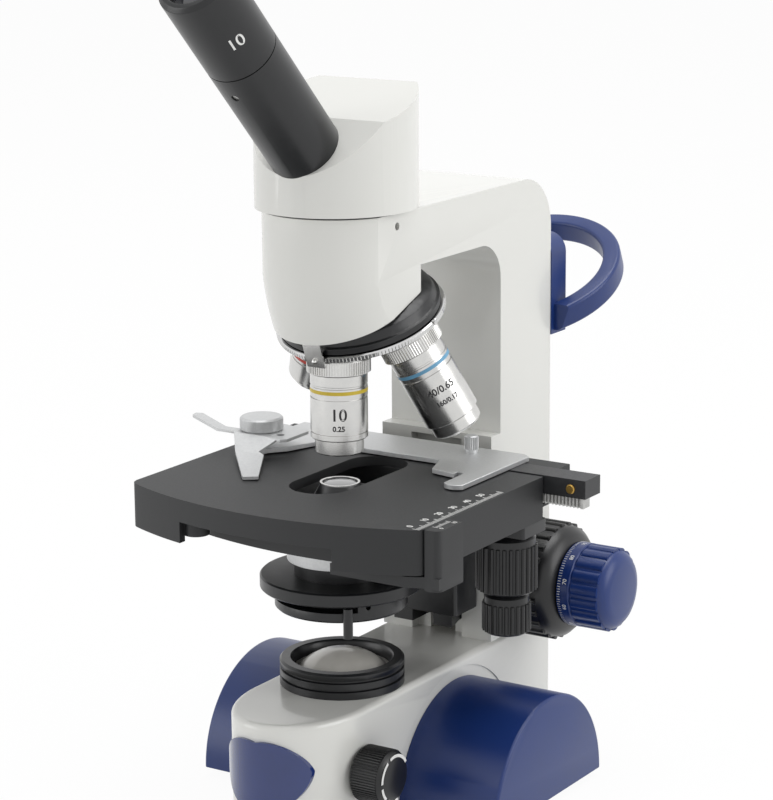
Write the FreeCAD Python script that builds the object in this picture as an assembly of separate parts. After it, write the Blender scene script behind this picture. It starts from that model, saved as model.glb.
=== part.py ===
import FreeCAD, Part
import math
import os

# Monocular student microscope, in millimetres.
# +Z is up, the user sits on the -Y side, +X is to the user's right.
# The sizes below put the origin where the optical axis meets the bench;
# the finished pieces are moved so that it lies under the middle of the whole microscope.

os.makedirs("parts", exist_ok=True)
V = FreeCAD.Vector
UP = V(0, 0, 1)
RIGHT = V(1, 0, 0)
BACK = V(0, 1, 0)
NODES = {}

# clearances
RUN_FIT = 0.05        # radial play of a turning shaft
SLIDE_FIT = 0.3       # play beside a sliding piece
PRESS_GAP = 0.02      # radial play of a glued or screwed-in piece

# base and arm castings
FOOT_HEIGHT = 3.0
FOOT_R = 6.0
BASE_HALF = 26.0
BASE_HEIGHT = 50.5
BASE_NOSE_Y = -24.0
BASE_NOSE_DEPTH = 35.5
BASE_WALL = 3.0
BASE_EDGE_R = 2.5
BASE_PLATE_T = 2.0
PLATE_SCREW_R = 1.5
PLATE_SCREW_HEAD_R = 2.8
SCREW_POST_R = 4.0
ARM_BACK_Y = 119.0
COLUMN_FRONT_Y = 78.3
GUIDE_FRONT_Y = 71.0
GUIDE_TOP_Z = 140.0
ARM_UNDER_Z = 218.9
ARM_TOP_Z = 240.9
ARM_BACK_R = 22.0
ARM_INNER_R = 15.0
HOUSING_TOP_R = 28.5
HOUSING_WIDE_Z = 216.5
HOUSING_MID_R = 26.3
HOUSING_MID_Z = 202.2
HOUSING_LOW_R = 22.2
HOUSING_LOW_Z = 188.0
HOUSING_BACK_Y = 21.0
HOUSING_CORNER_R = 4.0
HOUSING_BORE_R = 12.0
COLUMN_CAVITY_HALF = 20.0
COLUMN_CAVITY_FRONT_Y = 80.5
COLUMN_CAVITY_BACK_Y = 113.0
COLUMN_CAVITY_TOP_Z = 128.0
CHANNEL_HALF = 12.0
CHANNEL_FLOOR_Y = 76.0
CHANNEL_TOP_Z = 137.5
RACK_SLOT_HALF = 6.0

# blue side covers
COVER_R = 42.5
COVER_Y = 43.5
COVER_HALF_SPAN = 69.2
COVER_WALL = 2.5
COVER_RECESS_R = 47.0
COVER_RECESS_DEPTH = 0.8

# front badge
BADGE_HALF = 19.2
BADGE_TOP_Z = 46.5
BADGE_WIDE_Z = 35.0
BADGE_LOW_Z = 19.5
BADGE_T = 1.2

# lamp
LAMP_R = 24.5
LAMP_HEIGHT = 10.3
LAMP_INNER_R = 19.5
LAMP_SEAT_R = 17.6
LAMP_SEAT_Z = 4.0
LAMP_GROOVE_DEPTH = 1.0
LAMP_GROOVE_W = 1.2
LAMP_HOLE_R = 15.0
LENS_DOME_RISE = 7.5
LED_BOARD_R = 17.5
LED_BOARD_T = 1.6

# brightness knob, power socket and switch
DIMMER_Y = -25.5
DIMMER_Z = 28.8
DIMMER_R = 11.0
DIMMER_LENGTH = 14.6
DIMMER_SHAFT_R = 3.0
DIMMER_BODY_R = 8.5
DIMMER_BODY_L = 9.0
SOCKET_X = -12.0
SWITCH_X = 11.0
REAR_FITTING_Z = 24.0
SOCKET_R = 5.5
SWITCH_HALF_W = 6.5
SWITCH_HALF_H = 9.5
SWITCH_DEPTH = 14.0
ROCKER_PROUD = 2.5

# carrying handle
HANDLE_PLATE_HALF = 26.5
HANDLE_PLATE_T = 12.0
HANDLE_PLATE_LOW_Z = 173.5
HANDLE_PLATE_TOP_Z = 214.5
HANDLE_PLATE_CORNER_R = 8.0
HANDLE_LOOP_R = 41.0
HANDLE_BAND_T = 7.5
HANDLE_BAND_H = 9.8
HANDLE_LOOP_SETBACK = 13.0
HANDLE_LOOP_RISE = 13.5
HANDLE_TILT = 25.0
HANDLE_SCREW_SPACING = 20.0
HANDLE_SCREW_R = 2.5

# head, eyepiece tube and eyepiece
SEAM_GAP = 1.0
HEAD_R = 31.2
HEAD_BACK_Y = 22.0
HEAD_RIDGE_Z = 287.7
HEAD_TOP_SLOPE = 0.33
TUBE_TILT = 45.0
TUBE_EXIT_Y = -21.6
TUBE_EXIT_Z = 266.5
TUBE_R = 14.0
TUBE_BORE_R = 11.62
TUBE_LENGTH = 55.0
TUBE_SEAT = 9.0
EYEPIECE_LENGTH = 38.0
EYEPIECE_INSERT = 28.0
EYEPIECE_SEAM = 0.3
EYE_LENS_R = 9.5
DOVETAIL_R = 22.0
DOVETAIL_NECK_R = 20.0
DOVETAIL_DEPTH = 10.0
DOVETAIL_FLANGE_R = 27.5
SET_SCREW_R = 1.5
PRISM_HALF = 11.0

# revolving nosepiece
NOSE_TILT = 20.7
NOSE_APEX_Z = 238.7
SHOULDER_DIST = 54.8
PORT_COUNT = 4
PORT_BORE_R = 10.16
NOSE_DISC_R = 33.2
NOSE_RIM_T = 2.6
NOSE_RIM_TOP = 43.4
NOSE_SEAT = 34.8
NOSE_SEAT_R = 25.0
NOSE_RING_TOP = 37.2
NOSE_RING_R = 31.8
NOSE_SHELL_T = 4.0
NOSE_PIVOT_R = 4.0
NOSE_GAP = 0.3

# objectives
COLLAR_R = 12.3
COLLAR_H = 6.2
BARREL_R = 11.1
THREAD_R = 10.1
THREAD_H = 4.5
OBJECTIVE_BORE_R = 6.0
LENGTH_4X = 27.0
LENGTH_10X = 37.5
LENGTH_40X = 42.1
TIP_R_10X = 9.4
TIP_H_10X = 5.9
TIP_R_4X = 9.0
TIP_H_4X = 3.0
NOSE_R_40X = 10.0
NOSE_H_40X = 5.6
NOSE_STROKE_40X = 2.0
NOSE_INSIDE_40X = 8.0
LENS_40X_R = 1.8
LENS_T = 2.0

# stage
STAGE_TOP_Z = 135.5
STAGE_HALF = 66.0
STAGE_CORNER_Y = -46.0
STAGE_APEX_Y = -61.0
STAGE_REAR_Y = 42.5
STAGE_CORNER_R = 6.0
STAGE_PLATE_T = 4.0
STAGE_SKIRT = 17.3
STAGE_WALL = 3.0
SLOT_HALF = 12.7
SLOT_FRONT_Y = -25.0
SLOT_REAR_Y = 38.0
NOTCH_LEFT_X = -35.0
NOTCH_RIGHT_X = 34.0
NOTCH_H = 8.3
STAGE_BOSS_X = -32.5
STAGE_BOSS_Y = -49.5
STAGE_BOSS_R = 5.0
STAGE_BOSS_DROP = 15.0
LOWER_PLATE_T = 4.2
LOWER_PLATE_GAP = 0.5
LOWER_REAR_Y = 69.0
LOWER_HALF = 40.0
LOWER_LEFT_X = -49.5
LOWER_EDGE_Y = -28.5
LOWER_BOW_Y = -34.4
LOWER_STEP_X = 27.0
LOWER_FRONT_Y = -47.8
FRONT_BLOCK_H = 12.5
VERNIER_T = 6.1
VERNIER_FRONT_Y = -45.0
VERNIER_REAR_Y = -28.0
VERNIER_DROP = 23.0
RAIL_INNER_X = 27.0
RAIL_FRONT_Y = -28.0
RAIL_REAR_Y = 9.0

# focus carriage and guide
CARRIAGE_HALF = 20.0
CARRIAGE_FRONT_Y = 53.0
CARRIAGE_BACK_Y = 70.4
CARRIAGE_LOW_Z = 68.0
RAIL_NECK_HALF = 11.0
RAIL_HEAD_HALF = 14.0
RAIL_HEAD_Y = 60.0
RAIL_LOW_Z = 60.5
RAIL_TOP_Z = 110.3
GEAR_MODULE = 0.5
PINION_TEETH = 28
BACKLASH = 0.16
FOCUS_Y = 97.0
FOCUS_Z = 75.9
FOCUS_RACK_LOW_Z = 66.5
FOCUS_RACK_TOP_Z = 96.0
FOCUS_RACK_W = 8.0
RACK_BACKING = 4.0

# focus knobs
COARSE_R = 24.5
COARSE_IN_X = 27.5
COARSE_OUT_X = 51.0
COARSE_SHAFT_R = 7.0
FINE_R = 17.3
FINE_OUT_X = 73.0
FINE_SHAFT_R = 3.0

# condenser
SLEEVE_R = 21.0
SLEEVE_LOW_Z = 104.0
SLEEVE_BORE_R = 18.6
CONDENSER_R = 18.3
CONDENSER_TOP_R = 7.6
CONDENSER_CONE_R = 10.6
CONDENSER_TOP_Z = 134.2
CONDENSER_CONE_LOW_Z = 128.0
DISC_R = 31.7
DISC_TOP_Z = 98.2
DISC_LOW_Z = 92.7
IRIS_RING_R = 26.0
IRIS_LOW_Z = 84.9
IRIS_BORE_R = 9.0
CONDENSER_LENS_R = 7.0
LEVER_AZ = 38.5
LEVER_LOW_Z = 80.1
LEVER_ROD_R = 1.85
IRIS_SLOT_TOP_Z = 92.2
IRIS_SLOT_LOW_Z = 88.8
IRIS_SLOT_FROM = -58.0
IRIS_SLOT_TO = 47.7
IRIS_SCREW_AZ = 57.0

# mechanical stage
BAR_FRONT_Y = 43.1
BAR_BACK_Y = 55.2
BAR_LEFT_X = -60.0
BAR_RIGHT_X = 84.2
BAR_RISE = 0.4
BAR_DROP = 7.0
XRACK_DROP = 11.0
XRACK_LEFT_X = 10.0
XRAIL_BACK_Y = 65.0
XRAIL_FLOOR_T = 1.3
XRAIL_FRONT_Y = 37.5
HOLDER_T = 2.0
HOLDER_REAR_Y = 61.0
HOLDER_FRONT_Y = 36.5
HOLDER_LEFT_X = -58.0
HOLDER_RIGHT_X = 50.6
CLIP_X = -51.7
CLIP_Y = 21.2
CLIP_CAP_R = 8.7
CLIP_PLATE_Z = 144.0
CLIP_TOP_Z = 149.5
CLIP_POST_R = 3.0
CLIP_T = 1.2
HOLDER_SCREW_X = 27.5
HOLDER_SCREW_Y = 53.0
HOLDER_SCREW_R = 2.9
HOLDER_SCREW_H = 7.0

# coaxial stage knobs
KNOB_X = 53.0
KNOB_Y = 37.0
YKNOB_R = 12.3
XKNOB_R = 9.8
YKNOB_TOP_Z = 113.0
YKNOB_LOW_Z = 89.5
XKNOB_LOW_Z = 72.5
YTUBE_R = 5.0
XSHAFT_R = 2.5
XPINION_H = 3.6
YPINION_H = 3.6
YRACK_FRONT_Y = 1.0
YRACK_REAR_Y = 51.0

# values that follow from the sizes above
BASE_LOW_Z = FOOT_HEIGHT
BASE_TOP_Z = BASE_LOW_Z + BASE_HEIGHT
SEAM_Z = ARM_TOP_Z + SEAM_GAP
SKIRT_LOW_Z = STAGE_TOP_Z - STAGE_SKIRT
PLATE_LOW_Z = STAGE_TOP_Z - STAGE_PLATE_T
LOWER_TOP_Z = SKIRT_LOW_Z - LOWER_PLATE_GAP
LOWER_LOW_Z = LOWER_TOP_Z - LOWER_PLATE_T
PITCH_R = GEAR_MODULE * PINION_TEETH / 2
ADDENDUM = GEAR_MODULE
DEDENDUM = 1.25 * GEAR_MODULE
TILT = math.radians(NOSE_TILT)
NOSE_DOWN = V(0, math.sin(TILT), -math.cos(TILT))
NOSE_APEX = V(0, 0, NOSE_APEX_Z)
TUBE_DIR = V(0, -math.cos(math.radians(TUBE_TILT)), math.sin(math.radians(TUBE_TILT)))
TUBE_EXIT = V(0, TUBE_EXIT_Y, TUBE_EXIT_Z)


def save(name, *shapes):
    """Keep one node: a solid, or a group of separate solids."""
    NODES[name] = shapes[0] if len(shapes) == 1 else Part.makeCompound(list(shapes))


def block(x0, x1, y0, y1, z0, z1):
    return Part.makeBox(x1 - x0, y1 - y0, z1 - z0, V(x0, y0, z0))


def rod(radius, start, end):
    """A round bar between two points."""
    axis = end.sub(start)
    return Part.makeCylinder(radius, axis.Length, start, axis)


def tube(outer, inner, start, end):
    return rod(outer, start, end).cut(rod(inner, start, end))


def turned(profile, origin=V(0, 0, 0), axis=UP):
    """A solid turned from (radius, height) points about an axis through the origin point."""
    points = [V(r, 0, h) for r, h in profile]
    wire = Part.makePolygon(points + [points[0]])
    solid = Part.Face(wire).revolve(V(0, 0, 0), UP, 360)
    solid.Placement = FreeCAD.Placement(origin, FreeCAD.Rotation(UP, axis))
    return solid


def outline(start, *steps):
    """A closed wire in the XY plane; a step is a point, or a pair of points for an arc."""
    edges = []
    here = V(start[0], start[1], 0)
    for step in list(steps) + [start]:
        if isinstance(step[0], tuple):
            middle = V(step[0][0], step[0][1], 0)
            there = V(step[1][0], step[1][1], 0)
            edges.append(Part.Arc(here, middle, there).toShape())
        else:
            there = V(step[0], step[1], 0)
            if there.distanceToPoint(here) > 1e-6:
                edges.append(Part.LineSegment(here, there).toShape())
        here = there
    return Part.Wire(edges)


def slab(wire, z0, z1):
    """A flat plate of the given outline between two heights."""
    solid = Part.Face(wire).extrude(V(0, 0, z1 - z0))
    solid.translate(V(0, 0, z0))
    return solid


def side_slab(wire, x0, x1):
    """A plate whose outline is drawn in Y and Z, between two places along X."""
    solid = Part.Face(wire).extrude(V(0, 0, x1 - x0))
    solid.Placement = FreeCAD.Placement(V(x0, 0, 0), FreeCAD.Rotation(V(1, 1, 1), 120))
    return solid


def rounded_block(x0, x1, y0, y1, z0, z1, radius):
    """A block whose upright edges are rounded."""
    solid = block(x0, x1, y0, y1, z0, z1)
    upright = [e for e in solid.Edges if abs(e.tangentAt(e.FirstParameter).z) > 0.9]
    return solid.makeFillet(radius, upright)


def soften(solid, radius, wanted):
    """Round the edges that the test function picks."""
    edges = [e for e in solid.Edges if wanted(e)]
    return solid.makeFillet(radius, edges) if edges else solid


def at_height(edge, z):
    box = edge.BoundBox
    return abs(box.ZMin - z) < 0.01 and abs(box.ZMax - z) < 0.01


def toothed_wheel(teeth, low, high):
    """An involute pinion about the Z axis with one tooth centred on +X."""
    pitch = GEAR_MODULE * teeth / 2
    base = pitch * math.cos(math.radians(20))
    tip = pitch + ADDENDUM
    root = pitch - DEDENDUM
    involute_at_pitch = math.tan(math.radians(20)) - math.radians(20)
    half_tooth = math.pi / (2 * teeth) - BACKLASH / (2 * pitch)

    def flank(radius):
        roll = math.acos(min(1.0, base / radius))
        return half_tooth + involute_at_pitch - (math.tan(roll) - roll)

    steps = 4
    radii = [base + (tip - base) * i / steps for i in range(steps + 1)]
    points = []
    for tooth in range(teeth):
        centre = 2 * math.pi * tooth / teeth
        shape = [(root, -flank(base))] + [(r, -flank(r)) for r in radii]
        shape += [(r, flank(r)) for r in reversed(radii)] + [(root, flank(base))]
        points += [V(r * math.cos(centre + a), r * math.sin(centre + a), low) for r, a in shape]
    wire = Part.makePolygon(points + [points[0]])
    return Part.Face(wire).extrude(V(0, 0, high - low))


def rack(length_from, length_to, width):
    """A rack along X with teeth towards +Y, pitch line on the X axis and a gap at x = 0."""
    pitch = math.pi * GEAR_MODULE
    slope = math.tan(math.radians(20))
    half_gap = pitch / 4 + BACKLASH / 2
    top = ADDENDUM
    bottom = -DEDENDUM
    first = math.ceil(length_from / pitch + 0.5)
    last = math.floor(length_to / pitch - 0.5)
    points = [V(length_from, bottom - RACK_BACKING, 0), V(length_from, top, 0)]
    for index in range(first, last + 1):
        middle = index * pitch
        points.append(V(middle - half_gap - slope * top, top, 0))
        points.append(V(middle - half_gap - slope * bottom, bottom, 0))
        points.append(V(middle + half_gap + slope * bottom, bottom, 0))
        points.append(V(middle + half_gap + slope * top, top, 0))
    points += [V(length_to, top, 0), V(length_to, bottom - RACK_BACKING, 0)]
    return Part.Face(Part.makePolygon(points + [points[0]])).extrude(V(0, 0, width))


def base_body(z0, z1, inset=0.0):
    """The plan of the base: straight sides and back with an elliptical nose."""
    half = BASE_HALF - inset
    depth = BASE_NOSE_DEPTH - inset
    nose = Part.Ellipse(V(0, BASE_NOSE_Y - depth, z0), V(half, BASE_NOSE_Y, z0), V(0, BASE_NOSE_Y, z0))
    nose_face = Part.Face(Part.Wire(nose.toShape()))
    nose_solid = nose_face.extrude(V(0, 0, z1 - z0))
    return nose_solid.fuse(block(-half, half, BASE_NOSE_Y, ARM_BACK_Y - inset, z0, z1)).removeSplitter()


def cover_disc(radius, x0, x1):
    """The part of a disc about the side covers' axis that lies above the base's underside."""
    disc = rod(radius, V(x0, COVER_Y, BASE_LOW_Z), V(x1, COVER_Y, BASE_LOW_Z))
    return disc.common(block(x0, x1, COVER_Y - radius, COVER_Y + radius, BASE_LOW_Z, BASE_LOW_Z + radius))


def make_base():
    """Hollow base casting with its openings for the lamp, knob, socket and switch."""
    shell = base_body(BASE_LOW_Z, BASE_TOP_Z)
    shell = soften(shell, BASE_EDGE_R, lambda e: at_height(e, BASE_TOP_Z) and e.BoundBox.YMin < GUIDE_FRONT_Y)
    shell = shell.cut(base_body(BASE_LOW_Z, BASE_TOP_Z - BASE_WALL, BASE_WALL))
    shell = shell.cut(rod(LAMP_HOLE_R, V(0, 0, BASE_LOW_Z), V(0, 0, BASE_TOP_Z)))
    dimmer_hole = rod(DIMMER_SHAFT_R + 1, V(0, DIMMER_Y, DIMMER_Z), V(BASE_HALF + 1, DIMMER_Y, DIMMER_Z))
    shell = shell.cut(dimmer_hole)
    inner_y = ARM_BACK_Y - BASE_WALL
    shell = shell.cut(rod(SOCKET_R, V(SOCKET_X, inner_y, REAR_FITTING_Z), V(SOCKET_X, ARM_BACK_Y, REAR_FITTING_Z)))
    shell = shell.cut(block(SWITCH_X - SWITCH_HALF_W, SWITCH_X + SWITCH_HALF_W, inner_y, ARM_BACK_Y,
                            REAR_FITTING_Z - SWITCH_HALF_H, REAR_FITTING_Z + SWITCH_HALF_H))
    for side in (-1, 1):
        inner = side * (BASE_HALF - COVER_RECESS_DEPTH)
        outer = side * BASE_HALF
        shell = shell.cut(cover_disc(COVER_RECESS_R, min(inner, outer), max(inner, outer)))
    for x, y in bottom_screw_places():
        shell = shell.fuse(rod(SCREW_POST_R, V(x, y, BASE_LOW_Z + BASE_PLATE_T), V(x, y, BASE_TOP_Z - BASE_WALL)))
    save("base_housing", shell.removeSplitter())


def bottom_screw_places():
    side = BASE_HALF - BASE_WALL - SCREW_POST_R
    return [(-side, -12.0), (side, -12.0), (-side, 98.0), (side, 98.0)]


def make_bottom():
    """Bottom cover, its screws and the rubber feet."""
    plate = base_body(BASE_LOW_Z, BASE_LOW_Z + BASE_PLATE_T, BASE_WALL + SLIDE_FIT)
    screws = []
    for x, y in bottom_screw_places():
        plate = plate.cut(rod(PLATE_SCREW_R + 0.2, V(x, y, 0), V(x, y, BASE_LOW_Z + BASE_PLATE_T)))
        head = rod(PLATE_SCREW_HEAD_R, V(x, y, BASE_LOW_Z - 1.2), V(x, y, BASE_LOW_Z))
        screws.append(head.fuse(rod(PLATE_SCREW_R, V(x, y, BASE_LOW_Z), V(x, y, BASE_LOW_Z + BASE_PLATE_T))))
    save("base_plate", plate)
    save("base_plate_screws", *screws)
    feet = []
    reach = COVER_HALF_SPAN - FOOT_R - 3.0
    for x, y in ((0, BASE_NOSE_Y - 12.0), (0, ARM_BACK_Y - 22.0), (-reach, COVER_Y), (reach, COVER_Y)):
        feet.append(turned([(0, 0), (FOOT_R - 0.8, 0), (FOOT_R, 0.8), (FOOT_R, FOOT_HEIGHT), (0, FOOT_HEIGHT)],
                           V(x, y, 0)))
    save("rubber_feet", *feet)


def make_covers():
    """The two blue arch-shaped side covers."""
    for name, side in (("side_cover_left", -1), ("side_cover_right", 1)):
        root = side * (BASE_HALF - COVER_RECESS_DEPTH)
        tip = side * COVER_HALF_SPAN
        inside = side * (COVER_HALF_SPAN - COVER_WALL)
        outer = cover_disc(COVER_R, min(root, tip), max(root, tip))
        outer = soften(outer, 1.2, lambda e: abs(abs(e.BoundBox.XMin) - COVER_HALF_SPAN) < 0.01
                       and abs(abs(e.BoundBox.XMax) - COVER_HALF_SPAN) < 0.01 and e.BoundBox.ZMax > BASE_LOW_Z + 1)
        hollow = cover_disc(COVER_R - COVER_WALL, min(root, inside), max(root, inside))
        floor = block(-COVER_HALF_SPAN, COVER_HALF_SPAN, COVER_Y - COVER_R, COVER_Y + COVER_R,
                      BASE_LOW_Z, BASE_LOW_Z + COVER_WALL)
        save(name, outer.cut(hollow.cut(floor)))


def make_badge():
    """Bare plate, wide above and narrow below, that wraps round the nose of the base."""
    wire = outline((-BADGE_HALF, BADGE_WIDE_Z), ((-BADGE_HALF * 0.78, BADGE_TOP_Z - 4.0), (0, BADGE_TOP_Z)),
                   ((BADGE_HALF * 0.78, BADGE_TOP_Z - 4.0), (BADGE_HALF, BADGE_WIDE_Z)),
                   ((BADGE_HALF * 0.83, BADGE_WIDE_Z - 9.0), (0, BADGE_LOW_Z)),
                   ((-BADGE_HALF * 0.83, BADGE_WIDE_Z - 9.0), (-BADGE_HALF, BADGE_WIDE_Z)))
    prism = Part.Face(wire).extrude(V(0, 0, BASE_NOSE_DEPTH + 2 * BADGE_T))
    prism.Placement = FreeCAD.Placement(V(0, BASE_NOSE_Y, 0), FreeCAD.Rotation(RIGHT, 90))
    outer = base_body(BADGE_LOW_Z - 2, BADGE_TOP_Z + 2, -BADGE_T)
    skin = outer.cut(base_body(BADGE_LOW_Z - 2, BADGE_TOP_Z + 2, -PRESS_GAP))
    save("badge_plate", prism.common(skin).Solids[0])


def make_lamp():
    """Lamp collar with two grooves, domed lens and the board with its diode."""
    top = BASE_TOP_Z + LAMP_HEIGHT
    seat = BASE_TOP_Z + LAMP_SEAT_Z
    profile = [(LAMP_SEAT_R, BASE_TOP_Z), (LAMP_R, BASE_TOP_Z)]
    for middle in (BASE_TOP_Z + LAMP_HEIGHT * 0.34, BASE_TOP_Z + LAMP_HEIGHT * 0.67):
        profile += [(LAMP_R, middle - LAMP_GROOVE_W / 2), (LAMP_R - LAMP_GROOVE_DEPTH, middle - LAMP_GROOVE_W / 4),
                    (LAMP_R - LAMP_GROOVE_DEPTH, middle + LAMP_GROOVE_W / 4), (LAMP_R, middle + LAMP_GROOVE_W / 2)]
    profile += [(LAMP_R, top - 0.8), (LAMP_R - 0.8, top), (LAMP_INNER_R + 0.8, top), (LAMP_INNER_R, top - 0.8),
                (LAMP_INNER_R, seat), (LAMP_SEAT_R, seat)]
    save("lamp_collar", turned(profile))
    edge = LAMP_INNER_R - SLIDE_FIT
    rim = 1.6
    cap = LAMP_SEAT_R
    ball = (cap * cap + LENS_DOME_RISE * LENS_DOME_RISE) / (2 * LENS_DOME_RISE)
    disc = rod(edge, V(0, 0, seat), V(0, 0, seat + rim))
    sphere = Part.makeSphere(ball, V(0, 0, seat + rim + LENS_DOME_RISE - ball))
    dome = sphere.common(rod(cap, V(0, 0, seat + rim), V(0, 0, seat + rim + LENS_DOME_RISE + 1)))
    save("lamp_lens", disc.fuse(dome))
    board_top = BASE_TOP_Z - BASE_WALL
    board = rod(LED_BOARD_R, V(0, 0, board_top - LED_BOARD_T), V(0, 0, board_top))
    diode = turned([(0, board_top), (4.0, board_top), (4.0, board_top + 1.2), (2.4, board_top + 2.8),
                    (0, board_top + 3.4)])
    save("led_board", board, diode)


def make_electrics():
    """Brightness control with its knob, power socket, and the switch with its rocker."""
    inner_x = BASE_HALF - BASE_WALL
    axis_point = V(0, DIMMER_Y, DIMMER_Z)
    body = rod(DIMMER_BODY_R, V(inner_x - DIMMER_BODY_L, DIMMER_Y, DIMMER_Z), V(inner_x, DIMMER_Y, DIMMER_Z))
    body = body.common(base_body(BASE_LOW_Z, BASE_TOP_Z, BASE_WALL + 2 * RUN_FIT))
    well_x = inner_x - DIMMER_BODY_L + 3.0
    body = body.cut(rod(DIMMER_SHAFT_R + RUN_FIT, V(well_x, DIMMER_Y, DIMMER_Z), V(inner_x, DIMMER_Y, DIMMER_Z)))
    save("dimmer_control", body)
    face_x = BASE_HALF + SLIDE_FIT
    knob = turned([(0, face_x), (DIMMER_R, face_x), (DIMMER_R, face_x + DIMMER_LENGTH - 1.2),
                   (DIMMER_R - 1.2, face_x + DIMMER_LENGTH), (0, face_x + DIMMER_LENGTH)], axis_point, RIGHT)
    shaft = rod(DIMMER_SHAFT_R, V(well_x + SLIDE_FIT, DIMMER_Y, DIMMER_Z), V(face_x + 1, DIMMER_Y, DIMMER_Z))
    save("dimmer_knob", knob.fuse(shaft))
    inner_y = ARM_BACK_Y - BASE_WALL
    jack = rod(SOCKET_R - PRESS_GAP, V(SOCKET_X, inner_y, REAR_FITTING_Z), V(SOCKET_X, ARM_BACK_Y, REAR_FITTING_Z))
    jack = jack.fuse(block(SOCKET_X - 7, SOCKET_X + 7, inner_y - 10, inner_y, REAR_FITTING_Z - 6, REAR_FITTING_Z + 6))
    jack = jack.cut(rod(3.1, V(SOCKET_X, inner_y - 8, REAR_FITTING_Z), V(SOCKET_X, ARM_BACK_Y, REAR_FITTING_Z)))
    pin = rod(1.05, V(SOCKET_X, inner_y - 9, REAR_FITTING_Z), V(SOCKET_X, ARM_BACK_Y - 1, REAR_FITTING_Z))
    save("power_socket", jack.fuse(pin))
    half_w = SWITCH_HALF_W - PRESS_GAP
    half_h = SWITCH_HALF_H - PRESS_GAP
    case = block(SWITCH_X - half_w, SWITCH_X + half_w, ARM_BACK_Y - SWITCH_DEPTH, ARM_BACK_Y,
                 REAR_FITTING_Z - half_h, REAR_FITTING_Z + half_h)
    flange = block(SWITCH_X - half_w - 1.5, SWITCH_X + half_w + 1.5, ARM_BACK_Y, ARM_BACK_Y + 1.2,
                   REAR_FITTING_Z - half_h - 1.5, REAR_FITTING_Z + half_h + 1.5)
    well = block(SWITCH_X - half_w + 1.5, SWITCH_X + half_w - 1.5, ARM_BACK_Y - 8, ARM_BACK_Y + 2,
                 REAR_FITTING_Z - half_h + 1.5, REAR_FITTING_Z + half_h - 1.5)
    pivot_y = ARM_BACK_Y - 1.0
    pins = rod(1.0, V(SWITCH_X - half_w, pivot_y, REAR_FITTING_Z), V(SWITCH_X + half_w, pivot_y, REAR_FITTING_Z))
    save("switch_housing", case.fuse(flange).cut(well).fuse(pins))
    half_rocker = half_h - 1.5 - SLIDE_FIT - 0.5
    wire = outline((pivot_y - 2.5, REAR_FITTING_Z - half_rocker + 1), (pivot_y - 2.5, REAR_FITTING_Z + half_rocker - 1),
                   (ARM_BACK_Y + ROCKER_PROUD, REAR_FITTING_Z + half_rocker), (ARM_BACK_Y + 1.2, REAR_FITTING_Z),
                   (ARM_BACK_Y + ROCKER_PROUD, REAR_FITTING_Z - half_rocker))
    rocker_half_w = half_w - 1.5 - SLIDE_FIT
    rocker = side_slab(wire, SWITCH_X - rocker_half_w, SWITCH_X + rocker_half_w)
    rocker = rocker.cut(rod(1.0 + RUN_FIT, V(SWITCH_X - half_w, pivot_y, REAR_FITTING_Z),
                            V(SWITCH_X + half_w, pivot_y, REAR_FITTING_Z)))
    save("switch_rocker", rocker)


def nose_point(distance):
    """The point on the nosepiece's axis at a distance below its apex."""
    return NOSE_APEX.add(NOSE_DOWN * distance)


def housing_body():
    """Nosepiece housing: round in front, flat sides that run back, narrower towards its foot."""
    half = Part.Face(outline((0, HOUSING_LOW_Z), (HOUSING_LOW_R, HOUSING_LOW_Z),
                             ((HOUSING_MID_R, HOUSING_MID_Z), (HOUSING_TOP_R, HOUSING_WIDE_Z)),
                             (HOUSING_TOP_R, ARM_TOP_Z), (0, ARM_TOP_Z)))
    half.rotate(V(0, 0, 0), RIGHT, 90)
    front = half.revolve(V(0, 0, 0), UP, 360)
    right = half.extrude(BACK * HOUSING_BACK_Y)
    body = front.fuse(right).fuse(right.mirror(V(0, 0, 0), RIGHT))
    return body.common(rounded_block(-BASE_HALF, BASE_HALF, -3 * HOUSING_TOP_R, HOUSING_BACK_Y,
                                     HOUSING_LOW_Z, ARM_TOP_Z, HOUSING_CORNER_R))


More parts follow.
